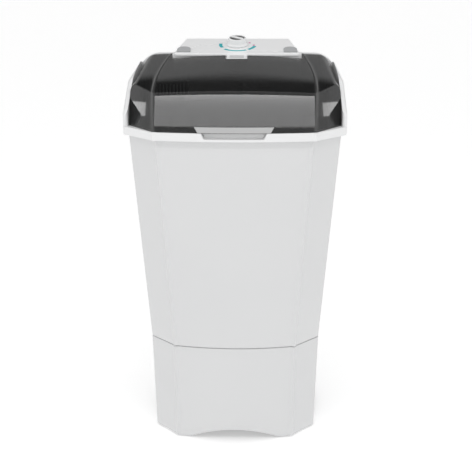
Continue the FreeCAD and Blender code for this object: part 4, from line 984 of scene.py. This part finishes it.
    def build_arm(self, side: float) -> Shell:
        """Builds one arm, with a rounded front end, on the side given by +1 or -1."""
        rings = [self.arm_section(self.arm_front_y + back, inset)
                 for inset, back in fillet(self.arm_nose, 7)[::-1]]
        start = self.arm_front_y + 2.0 * self.arm_nose
        rings += [self.arm_section(y, 0.0) for y in np.linspace(start, self.arm_back_y, 30)]
        return Shell.grid(np.array(rings) * np.array([side, 1.0, 1.0]), Ends.FAN)

    def build_deck(self) -> Shell:
        """Builds the arched deck, which is cut down to the panel's underside.

        Its height is min(arch, panel - depth / cos 14) less the rounding of its edges.
        """
        side_x, side_y = self.deck_corner
        right = [(RIM_HALF, WELL_BACK_Y), (RIM_HALF, side_y), (side_x, RIM_BACK_Y)]
        edge = [*right, *[(-x, y) for x, y in right[::-1]]]
        lip = [(-RIM_HALF, WELL_BACK_Y), (RIM_HALF, WELL_BACK_Y)]
        front = DECK_FRONT_Y + self.deck_step
        path = rounded_path(
            [(0.0, front), (CONSOLE_HALF, front), (CONSOLE_HALF, WELL_BACK_Y), *right,
             (0.0, RIM_BACK_Y)],
            self.deck_rounds, self.deck_counts)

        def height(x: Array, y: Array) -> Array:
            """Height of the deck's top."""
            plane = panel_height(y) - self.panel_depth / math.cos(PANEL_TURN)
            drop = rounding(edge_distance(x, y, edge), self.deck_edge)
            ahead = np.where(np.abs(x) > CONSOLE_HALF + self.deck_clear,
                             rounding(edge_distance(x, y, lip), self.deck_lip), 0.0)
            return np.minimum(self.arch(x, y), plane) - drop - ahead

        return cap(mirrored(path), (0.0, self.deck_middle_y), height, self.deck_low_z, self.deck_insets)

    def build_splash(self) -> Shell:
        """Builds the thin wall across the mouth's back, in front of the deck."""
        outline = oblong((DECK_FRONT_Y, self.splash_low_z),
                         (DECK_FRONT_Y + self.splash_wall, self.splash_top_z), self.splash_round)
        return prism(outline, -self.splash_half, self.splash_half)

    def build(self) -> None:
        """Builds and dresses the housing."""
        shell = Shell.joined([self.build_rim(), self.build_arm(1.0), self.build_arm(-1.0),
                              self.build_deck(), self.build_splash()])
        publish(shell.to_object("top_housing_body"), "cabinet", Palette.RIM, "top_housing")


# Lid

@dataclass
class Lid:
    """The smoked lid: a crowned top, two creases, curved cheeks and a leaning, chamfered front.

    Places across it are shares: 0 at the middle, 1 at the crease and 2 at the side.
    """

    half: float = 256.5
    low_z: float = 820.4
    lean: float = 0.54
    front_y: float = -259.0
    tip_y: float = -295.0
    back_y: float = 146.0
    corner_x: float = 191.5
    corner_y: float = -165.0
    corner_round: float = 5.0
    fold_round: float = 3.0
    fold_guess: float = -215.0
    fold_steps: int = 60
    notch_half: float = 175.0
    notch_y: float = 93.5
    notch_share: float = 0.95
    notch_creases: Pair = (184.5, 177.5)
    tongue_share: float = 0.1608
    tongue_y: float = 59.0
    tongue_lead: float = 1.0
    slit: float = 0.004
    top_columns: Pair = (0.2, 0.945)
    cheek_columns: Pair = (1.12, 1.38)
    wall: float = 3.0
    crown_y: float = -232.0
    crown_z: float = 910.0
    crown_rise: float = 0.16402
    crown_fall: float = 9.0
    crease_x: float = 197.0
    crease_y: float = -106.0
    crease_bend: float = 18.0
    crease_reach: float = 242.0
    near_share: float = 1.1
    near_fall: float = 0.08
    shoulder_share: float = 1.4
    shoulder_fall: float = 2.0
    shoulder_round: float = 8.0
    shoulder_gain: float = 39.0
    shoulder_turn: float = math.radians(70.0)
    side_share: float = 2.0
    side_rise: float = 0.2626
    bead_height: float = 0.9
    bead_width: float = 2.2
    # width of the painted highlight line along the creases
    painted_highlight_width: float = 4.0
    cheek_margin: float = 20.0
    ear_pin: Pair = (125.0, 950.0)
    ear_round: float = 10.0
    ear_root: Pairs = ((135.0, 958.0), (115.0, 956.0))
    ear_span: Pair = (177.0, 185.0)
    grip_half: float = 85.0
    grip_flare: float = 8.0
    grip_height: float = 13.0
    grip_depth: Pair = (-1.6, 5.4)
    grip_round: float = 1.2
    grip_ends: Pairs = ((1.0, 0.55), (0.994, 0.85), (0.988, 1.0))
    grip_run: float = 0.96
    grip_steps: int = 61

    def plan_y(self, x: Array) -> Array:
        """Front edge of the lid's plan: the larger of bow and chamfer, with the fold softened.

        The bow is front - bow (1 - (x / corner)^2), and the chamfer runs straight from the corner to
        the side.
        """
        across = np.abs(x)
        bow = self.front_y - FRONT_BOW * (1.0 - (across / self.corner_x) ** 2)
        slope = (self.corner_y - self.front_y) / (self.half - self.corner_x)
        chamfer = self.front_y + slope * (across - self.corner_x)
        return -soft_min(-bow, -chamfer, self.corner_round)

    def front_at(self, x: Array, z: Array) -> Array:
        """The leaning front's y at x and z: plan_y(x) + lean (z - low)."""
        return self.plan_y(x) + self.lean * (z - self.low_z)

    def crease_at(self, y: Array) -> Array:
        """The crease's x at y: a parabola whose widest place is crease_y."""
        return self.crease_x - self.crease_bend * ((y - self.crease_y) / self.crease_reach) ** 2

    def section(self, share: Array, y: Array) -> tuple[Array, Array]:
        """Gives x and z on the lid's outside.

        Out to the crease the top is crown - fall (x / crease)^2. From there it falls straight to the
        shoulder, which is an arc of 70 degrees that ends upright. A bead of
        h exp(-((|x| - crease) / w)^2) lies along the crease.

        Args:
            share: Place across the lid, below 0 on its left.
            y: Place along the lid.

        Returns:
            X and Z, of the same shape.
        """
        crown = self.crown_z + self.crown_rise * (y - self.crown_y)
        crease = self.crease_at(y)
        length = self.back_y - self.tip_y
        radius = self.shoulder_round + self.shoulder_gain * (y - self.tip_y) / length
        size = np.abs(share)
        knee = self.notch_half / np.interp(y, [self.notch_y, self.back_y], self.notch_creases)
        part = np.where(size < self.notch_share, size * knee / self.notch_share,
                        knee + (1.0 - knee) * (size - self.notch_share) / (1.0 - self.notch_share))
        shoulder = self.half - radius * (1.0 - math.cos(self.shoulder_turn))
        fall = np.interp(size, [1.0, self.near_share, self.shoulder_share], [0.0, self.near_fall, 1.0])
        angle = self.shoulder_turn * (self.side_share - size) / (self.side_share - self.shoulder_share)
        zones = [size <= 1.0, size <= self.shoulder_share]
        x = np.select(zones, [crease * part, crease + (shoulder - crease) * fall],
                      self.half - radius * (1.0 - np.cos(angle)))
        eaves = crown - self.crown_fall - self.shoulder_fall - radius * math.sin(self.shoulder_turn)
        z = np.select(zones, [crown - self.crown_fall * part ** 2,
                              crown - self.crown_fall - self.shoulder_fall * fall],
                      eaves + radius * np.sin(angle))
        bead = self.bead_height * np.exp(-((x - crease) / self.bead_width) ** 2)
        return np.copysign(x, share), z + bead

    def columns(self) -> Array:
        """Places across the lid, crowded at its creases, its notches and its cheeks' ends."""
        right = np.concatenate([
            np.linspace(0.0, self.tongue_share - self.slit, 8), [self.tongue_share],
            np.linspace(*self.top_columns, 34), np.linspace(self.notch_share, self.near_share, 25),
            np.linspace(*self.cheek_columns, 10),
            np.linspace(self.shoulder_share, self.side_share, 24)])
        return np.concatenate([-right[:0:-1], right])

    def fold(self, share: Array) -> Array:
        """Finds y where the front meets the top, by going half the way to front_at(x, z) each step."""
        y = np.full(len(share), self.fold_guess)
        for _ in range(self.fold_steps):
            y = 0.5 * y + 0.5 * self.front_at(*self.section(share, y))
        return y

    def surface(self) -> Array:
        """Gives the lid's outside as rows from its bottom edge up the front and back along the top.

        Rows on the front are x, front_at(x, z), z. The fold is the curve
        (1 - t)^2 P + 2 t (1 - t) Q + t^2 R through points a rounding before and after it.
        """
        share = self.columns()
        fold_y = self.fold(share)
        fold_x, fold_z = self.section(share, fold_y)
        rise = np.linspace(0.0, 1.0, 16)[:, None]
        z = self.low_z + (fold_z - self.fold_round - self.low_z) * rise
        front = xyz(fold_x, self.front_at(fold_x, z), z)
        start_y = fold_y + self.fold_round
        after_x, after_z = self.section(share, start_y)
        t = np.linspace(0.0, 1.0, 9)[1:-1, None, None]
        bend = ((1.0 - t) ** 2 * front[-1] + 2.0 * t * (1.0 - t) * xyz(fold_x, fold_y, fold_z)
                + t ** 2 * xyz(after_x, start_y, after_z))
        mid_y, size = self.tongue_y - self.tongue_lead, np.abs(share)
        within = [size < limit - self.slit / 2.0 for limit in (self.tongue_share, self.notch_share)]
        end_y = np.select(within, [self.tongue_y, self.notch_y], self.back_y)
        first = start_y + (mid_y - start_y) * np.linspace(0.0, 1.0, 40)[:, None]
        last = mid_y + (end_y - mid_y) * np.linspace(0.0, 1.0, 20)[1:, None]
        y = np.vstack([first, last])
        x, z = self.section(np.broadcast_to(share, y.shape), y)
        return np.concatenate([front, bend, xyz(x, y, z)])

    def with_sides(self, rows: Array) -> Array:
        """Adds the upright sides: each edge point drops to low + rise (y - corner), over the rim."""
        def drop(edge: Array) -> Array:
            """Gives the rows of points from the side's lower edge up to just below the given one."""
            low = np.maximum(self.low_z, self.low_z + self.side_rise * (edge[:, 1] - self.corner_y))
            z = low + (edge[:, 2] - low) * np.linspace(0.0, 1.0, 10)[:-1, None]
            return xyz(edge[:, 0], edge[:, 1], z)

        left = np.swapaxes(drop(rows[:, 0]), 0, 1)
        right = np.swapaxes(drop(rows[:, -1])[::-1], 0, 1)
        return np.concatenate([left, rows, right], axis=1)

    def mark(self, lid: Object) -> None:
        """Stores two shares for each point of the lid: painted_highlight, a painted highlight line along
        the creases, and edge, at the cheeks.

        The painted highlight is exp(-((|x| - crease) / width)^2), and the edge is a smooth step of |x|
        from the front corner to the side, a margin in from both.

        Args:
            lid: The lid's object.
        """
        flat = np.empty(3 * len(lid.data.vertices), np.float32)
        lid.data.vertices.foreach_get("co", flat)
        x, y, _ = flat.reshape(-1, 3).T / MM
        # painted highlight: a lighter line of colour along each crease, which the lid's material mixes
        # in
        painted_highlight = np.exp(-((np.abs(x) - self.crease_at(y)) / self.painted_highlight_width) ** 2)
        edge = smooth_step(np.abs(x), self.corner_x + self.cheek_margin, self.half - self.cheek_margin)
        for name, share in (("painted_highlight", painted_highlight), ("edge", edge)):
            layer = lid.data.attributes.new(name, "FLOAT", "POINT")
            layer.data.foreach_set("value", share.astype(np.float32))

    def build_ears(self) -> Shell:
        """Builds the two hinge ears under the top, round below the pin."""
        turn = np.linspace(math.pi, 2.0 * math.pi, 13)
        round_end = self.ear_pin + self.ear_round * np.column_stack([np.cos(turn), np.sin(turn)])
        outline = np.vstack([round_end, self.ear_root])
        near, far = self.ear_span
        return Shell.joined([prism(outline, near, far), prism(outline, -far, -near)])

    def build_handle(self) -> Shell:
        """Builds the handle: a section of height and depth that follows the lid's front along x.

        A point at (u, z, d) is x = u (half + flare (z - low) / height), y = front_at(x, z) + d.
        """
        (near, far), height = self.grip_depth, self.grip_height
        loop = oblong((self.low_z, near), (self.low_z + height, far), self.grip_round)
        middle = loop.mean(0)
        place, end = np.array(self.grip_ends).T
        run = np.linspace(-self.grip_run, self.grip_run, self.grip_steps)
        u = np.concatenate([-place, run, place[::-1]])
        size = np.concatenate([end, np.ones(self.grip_steps), end[::-1]])
        shrink = np.stack([0.5 + 0.5 * size, size], axis=-1)
        section = middle + (loop - middle)[None] * shrink[:, None, :]
        z, depth = section[..., 0], section[..., 1]
        x = u[:, None] * (self.grip_half + self.grip_flare * (z - self.low_z) / height)
        return Shell.grid(xyz(x, self.front_at(x, z) + depth, z), Ends.FAN)

    def build(self) -> None:
        """Builds the lid as a sheet thickened inwards, its ears and its handle."""
        sheet = Shell.grid(self.with_sides(self.surface()), Ends.OPEN, wrap=False)
        lid = sheet.to_object("lid_body")
        self.mark(lid)
        thick = lid.modifiers.new("wall", "SOLIDIFY")
        thick.thickness = self.wall * MM
        thick.offset = -1.0
        publish(lid, "lid", Palette.SMOKE, "lid_shell")
        publish(self.build_ears().to_object("lid_ears"), "lid", Palette.SMOKE)
        publish(self.build_handle().to_object("lid_grip"), "lid", Palette.HANDLE, "lid_handle")


# Control panel

@dataclass(frozen=True)
class DialMark:
    """A thin sector printed round the knob, in degrees counter-clockwise from the panel's right."""

    name: str
    ink: Finish
    radius: float
    width: float
    start: float
    end: float
    low: float = -0.3
    high: float = 0.12
    step: float = 3.0

    def build(self) -> None:
        """Builds and dresses the mark."""
        count = max(3, int(abs(self.end - self.start) / self.step))
        angle = np.radians(np.linspace(self.start, self.end, count))[:, None]
        reach = self.radius + self.width * np.array([-0.5, 0.5, 0.5, -0.5])
        height = (self.low, self.low, self.high, self.high)
        rings = xyz(reach * np.cos(angle), reach * np.sin(angle), height)
        shell = on_panel(Shell.grid(rings, Ends.FAN), KNOB_ALONG)
        publish(shell.to_object(self.name), "cabinet", self.ink)


@dataclass
class Panel:
    """The slanted panel with its tongue, which lies in the lid's notch, and its dial marks."""

    front_half: float = 171.0
    back_half: float = 142.0
    run: float = 124.2
    corner_rounds: Pair = (8.0, 12.0)
    edge_round: float = 2.5
    depth: float = 5.2
    overlap: float = 3.0
    insets: Floats = (0.0, 0.002, 0.005, 0.009, 0.014, 0.02, 0.03, 0.05, 0.1, 0.2, 0.4, 0.7, 0.97)
    tongue_half: float = 27.0
    tongue_end: float = 2.0
    tongue_outline: Pairs = ((85.0, 948.1), (108.0, 946.0), (108.0, 963.3), (62.0, 958.2), (62.0, 950.2),
                             (85.0, 948.1))
    tongue_rounds: Floats = (1.0, 1.0, 2.0, 2.0)
    inlay_half: float = 19.0
    inlay_end: float = 0.1
    inlay_outline: Pairs = ((66.0, 958.7), (103.0, 962.8), (103.0, 961.6), (66.0, 957.5))
    dial: tuple[DialMark, ...] = (
        DialMark("dial_arc_left", Palette.TEAL, 45.5, 9.0, 168.0, 209.0),
        DialMark("dial_arc_middle", Palette.TEAL, 49.0, 8.0, 226.0, 300.0),
        DialMark("dial_arc_right", Palette.TEAL, 48.5, 9.0, 308.0, 348.0),
        DialMark("dial_mark_low", Palette.ROSE, 45.0, 6.0, -8.5, 0.5),
        DialMark("dial_mark_high", Palette.ROSE, 37.0, 6.0, 21.5, 30.5),
    )

    def build_plate(self) -> Shell:
        """Builds the panel: its plan cut by the slope, with rounded edges."""
        front, back = PANEL_FRONT[1], PANEL_FRONT[1] + self.run
        right = [(self.front_half, front), (self.back_half, back)]
        corners = [*right, *[(-x, y) for x, y in right[::-1]], right[0]]
        outline = mirrored(rounded_path([(0.0, front), *right, (0.0, back)], self.corner_rounds,
                                        (24, 24, 24), steps=10))

        def height(x: Array, y: Array) -> Array:
            """Height of the panel's top."""
            return panel_height(y) - rounding(edge_distance(x, y, corners), self.edge_round)

        under = panel_height(outline[:, 1]) - self.depth
        deck = Housing().arch(outline[:, 0], outline[:, 1]) - self.overlap
        return cap(outline, (0.0, front + 0.5 * self.run), height, np.minimum(under, deck), self.insets)

    def build_tongue(self) -> Shell:
        """Builds the tongue at the panel's front edge, which keeps on the lid's slope."""
        path = rounded_path(self.tongue_outline, self.tongue_rounds, [6] * 5)
        return prism(path[:-1], -self.tongue_half, self.tongue_half, self.tongue_end)

    def build_inlay(self) -> Shell:
        """Builds the greyer field on the tongue's top, a thin plate along its slope."""
        return prism(np.array(self.inlay_outline), -self.inlay_half, self.inlay_half, self.inlay_end)

    def build(self) -> None:
        """Builds and dresses the panel."""
        plate = Shell.joined([self.build_plate(), self.build_tongue()])
        publish(plate.to_object("panel_body"), "cabinet", Palette.PANEL, "control_panel")
        publish(self.build_inlay().to_object("tongue_inlay"), "cabinet", Palette.INLAY)
        for mark in self.dial:
            mark.build()


@dataclass
class Knob:
    """The timer knob, the dark disc sunk in its top and the bar across that."""

    gap: float = 0.5
    body: Pairs = (
        (3.2, 0.0), (28.4, 0.0), (29.0, 0.6), (29.0, 3.2), (28.4, 4.6), (26.8, 5.9), (25.2, 7.2),
        (25.0, 8.6), (24.2, 18.6), (23.7, 19.5), (22.5, 20.0), (21.0, 20.0), (20.2, 19.7), (20.0, 19.1),
        (20.0, 17.0), (3.2, 17.0))
    disc: Pairs = ((0.5, 17.0), (19.8, 17.0), (19.8, 18.0), (19.6, 18.2), (0.5, 18.2))
    bar_half: Pair = (18.6, 4.4)
    bar_corner: float = 2.4
    bar_edge: float = 1.4
    bar_low: float = 18.2
    bar_top: float = 21.3
    bar_turn: float = math.radians(145.0)
    bar_insets: Floats = (0.0, 0.01, 0.025, 0.05, 0.1, 0.2, 0.35, 0.6, 0.95)

    def build_bar(self) -> Shell:
        """Builds the bar, whose height is its top less the rounding of its edges."""
        long, wide = self.bar_half

        def height(x: Array, y: Array) -> Array:
            """Height of the bar's top."""
            inside = np.minimum(wide - np.abs(y), long - np.abs(x))
            return self.bar_top - rounding(inside, self.bar_edge)

        outline = oblong((-long, -wide), (long, wide), self.bar_corner)
        bar = cap(outline, (0.0, 0.0), height, self.bar_low, self.bar_insets)
        return bar.moved(turned(2, self.bar_turn), (0.0, 0.0, 0.0))

    def build(self) -> None:
        """Builds and dresses the knob's three pieces."""
        for name, shell, finish, node in (
                ("knob_body", lathe(self.body), Palette.KNOB, "timer_knob"),
                ("knob_disc", lathe(self.disc), Palette.KNOB_DARK, "knob_insert"),
                ("knob_bar", self.build_bar(), Palette.KNOB, "knob_grip")):
            publish(on_panel(shell, KNOB_ALONG, self.gap).to_object(name), "knob", finish, node)


# Pieces that keep their CAD form

@dataclass(frozen=True)
class Dressing:
    """A finish for CAD nodes that are shown as they are."""

    finish: Finish
    nodes: tuple[str, ...]

    def apply(self) -> None:
        """Puts the finish on each node."""
        for name in self.nodes:
            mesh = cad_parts[name].data
            mesh.materials.clear()
            mesh.materials.append(self.finish.material())


CORNERS = ("front_left", "front_right", "back_left", "back_right")
DRESSINGS = (
    Dressing(Palette.RUBBER, (*[f"foot_pad_{corner}" for corner in CORNERS],
                              "shaft_seal", "drive_belt", "cable_gland")),
    Dressing(Palette.STEEL, (*[f"plate_post_{corner}" for corner in CORNERS],
                             "hinge_pin_left", "hinge_pin_right", "timer_shaft", "timer_screws",
                             "impeller_screw", "bearing_screws", "drive_shaft", "pulley_nut",
                             "plate_bolts", "motor_bolts", "motor_shaft", "capacitor_strap")),
    Dressing(Palette.TRIM, ("hinge_cover_left", "hinge_cover_right")),
    Dressing(Palette.TIMER, ("timer_body", "capacitor")),
    Dressing(Palette.IMPELLER, ("impeller", "impeller_cap")),
    Dressing(Palette.BEARING, ("bearing_housing", "drain_elbow", "drain_strainer")),
    Dressing(Palette.BRASS, ("bush_upper", "bush_lower")),
    Dressing(Palette.ALLOY, ("drive_pulley", "motor_pulley")),
    Dressing(Palette.PLATE, ("motor_plate",)),
    Dressing(Palette.MOTOR, ("motor_body",)),
    Dressing(Palette.RIM, ("filter_guide",)),
    Dressing(Palette.FILTER, ("lint_filter",)),
    Dressing(Palette.MESH, ("filter_mesh",)),
)


# Stage, in metres and degrees

WHITE = (1.0, 1.0, 1.0, 1.0)


@dataclass(frozen=True)
class SoftLight:
    """A rectangular area light aimed at a point, which may dim towards its lower edge."""

    name: str
    place: Place
    aim: Place
    size: Pair
    glow: float
    fade: float = 1.0
    roll: float = 0.0
    fall: float = 5.0

    def dim_low_edge(self, lamp: bpy.types.Light) -> None:
        """Lets the strength run from fade at the lower edge to 1 at the upper, by a power of height."""
        lamp.use_nodes = True
        wire = Wiring(lamp.node_tree)
        curve = wire.math("POWER", (wire.split("ShaderNodeNewGeometry", "Parametric"), "Y"), self.fall)
        ramp = wire.remap((curve, "Value"), UNIT, (self.fade, 1.0))
        wire.join(ramp, "Result", lamp.node_tree.nodes["Emission"], "Strength")

    def build(self) -> None:
        """Adds the light, whose power is pi * glow * area."""
        lamp = bpy.data.lights.new(self.name, "AREA")
        lamp.shape = "RECTANGLE"
        lamp.size, lamp.size_y = self.size
        lamp.energy = math.pi * self.glow * self.size[0] * self.size[1]
        if self.fade < 1.0:
            self.dim_low_edge(lamp)
        holder = bpy.data.objects.new(self.name, lamp)
        holder.location = self.place
        facing = (Vector(self.aim) - Vector(self.place)).to_track_quat("-Z", "Y")
        rolled = facing @ Quaternion((0.0, 0.0, 1.0), math.radians(self.roll))
        holder.rotation_euler = rolled.to_euler()
        bpy.context.scene.collection.objects.link(holder)


@dataclass(frozen=True)
class Stage:
    """The pale floor, the soft studio lights and the camera."""

    camera_place: Place = (0.042, -2.3156, 1.187)
    camera_pitch: float = 16.8
    camera_yaw: float = 1.04
    camera_reach: float = 200.0
    lens: float = 68.26
    sensor: float = 36.0
    shift: Pair = (-0.0003, 0.0028)
    floor_size: float = 160.0
    floor_glow: float = 0.32
    dome_light: float = 0.87
    background: float = 1.0
    flag_side: Pair = (0.55, 0.75)
    flag_edge: Pair = (0.4225, 0.4315)
    flag_light: Pair = (0.37, 0.02)
    flag_bow: float = 0.88
    bank_count: int = 8
    bank_width: float = 1.84
    bank_height: float = 0.154
    bank_place: Pair = (-1.3047, 2.0550)
    bank_aim: Pair = (-0.2445, 0.8565)
    bank_arch: float = 0.077
    bank_glow: float = 13.8
    bank_fade: float = 0.326
    lights: tuple[SoftLight, ...] = (
        SoftLight("top_box", (0.0, 0.35, 3.0), (0.0, 0.1, 0.9), (2.2, 1.7), 0.3),
        SoftLight("cheek_strip_left", (-1.988, 0.747, 1.126), (-0.234, -0.175, 0.862), (0.072, 0.062),
                  3.8, roll=24.0),
        SoftLight("cheek_strip_right", (2.01, 0.676, 1.165), (0.229, -0.182, 0.863), (0.072, 0.062),
                  3.8, roll=-24.0),
    )

    def lid_bank(self) -> list[SoftLight]:
        """Gives the row of boxes that the lid's front facet mirrors.

        The boxes stand side by side in one slanted plane. With x across, each is raised by arch * x^2
        along its own height and rolled by that curve's slope, so that the row follows the bowed facet.

        Returns:
            The lights of the row.
        """
        step = self.bank_width / self.bank_count
        across = (np.arange(self.bank_count) + 0.5) * step - self.bank_width / 2.0
        way = np.subtract(self.bank_aim, self.bank_place)
        rise = np.array([-way[1], way[0]]) / np.hypot(*way)
        lights = []
        for number, x in enumerate(across.tolist(), 1):
            lift = self.bank_arch * x * x * rise
            place, aim = np.add(self.bank_place, lift), np.add(self.bank_aim, lift)
            roll = math.degrees(math.atan(2.0 * self.bank_arch * x))
            lights.append(SoftLight(f"lid_box_{number}", (x, *place.tolist()), (x, *aim.tolist()),
                                    (step, self.bank_height), self.bank_glow, self.bank_fade, roll))
        return lights

    def build_floor(self) -> None:
        """Lays the floor: very pale, and glowing a little so that it stays near white far off."""
        material = Palette.FLOOR.material()
        wire = Wiring(material.node_tree)
        wire.fill(wire.shader(), {"Emission Color": WHITE, "Emission Strength": self.floor_glow})
        half = self.floor_size / MM / 2.0
        rings = np.array([[(x, y, 0.0) for x in (-half, half)] for y in (-half, half)])
        floor = Shell.grid(rings, Ends.OPEN, wrap=False).to_object("studio_floor_plane")
        floor.data.materials.append(material)

    def build_world(self) -> None:
        """Sets the pale dome, with a dim flag behind the machine that the lid's top mirrors.

        The flag takes over from the dome as the direction's y goes over flag_side. Its own light falls
        from its first to its second value as z + bow * x^2 goes over flag_edge, which the lid's crown
        mirrors as a straight edge. The camera sees a plain background past the floor's end.
        """
        world = bpy.data.worlds.new("studio")
        world.use_nodes = True
        wire = Wiring(world.node_tree)
        split = wire.split("ShaderNodeTexCoord", "Generated")
        rear = wire.remap((split, "Y"), self.flag_side)
        square = wire.math("MULTIPLY", (split, "X"), (split, "X"))
        bow = wire.math("MULTIPLY", (square, "Value"), self.flag_bow)
        height = wire.math("ADD", (split, "Z"), (bow, "Value"))
        flag = wire.remap((height, "Value"), self.flag_edge, self.flag_light)
        light, shown = wire.add("ShaderNodeMix"), wire.add("ShaderNodeMix")
        wire.fill(light, {"A": self.dome_light})
        wire.join(rear, "Result", light, "Factor")
        wire.join(flag, "Result", light, "B")
        wire.fill(shown, {"B": self.background})
        wire.join(wire.add("ShaderNodeLightPath"), "Is Camera Ray", shown, "Factor")
        wire.join(light, "Result", shown, "A")
        back = world.node_tree.nodes["Background"]
        wire.fill(back, {"Color": WHITE})
        wire.join(shown, "Result", back, "Strength")
        bpy.context.scene.world = world

    def build_camera(self) -> None:
        """Places the camera at the photo's viewing angle."""
        lens = bpy.data.cameras.new("photo_camera")
        lens.lens = self.lens
        lens.sensor_width = self.sensor
        lens.shift_x, lens.shift_y = self.shift
        lens.clip_end = self.camera_reach
        holder = bpy.data.objects.new("photo_camera", lens)
        holder.location = self.camera_place
        holder.rotation_euler = (math.radians(90.0 - self.camera_pitch), 0.0,
                                 math.radians(self.camera_yaw))
        bpy.context.scene.collection.objects.link(holder)
        bpy.context.scene.camera = holder

    def build(self) -> None:
        """Builds the stage."""
        bpy.context.scene.view_settings.view_transform = "Standard"
        self.build_floor()
        self.build_world()
        self.build_camera()
        for light in [*self.lid_bank(), *self.lights]:
            light.build()


def main() -> None:
    """Builds the washing machine's looks on its CAD frame."""
    logging.basicConfig(level=logging.INFO)
    build_grain_group()
    build_wear_group()
    for part in (Tub(), Skirt(), Housing(), Lid(), Panel(), Knob()):
        part.build()
    for dressing in DRESSINGS:
        dressing.apply()
    Stage().build()


if __name__ == "__main__":
    main()
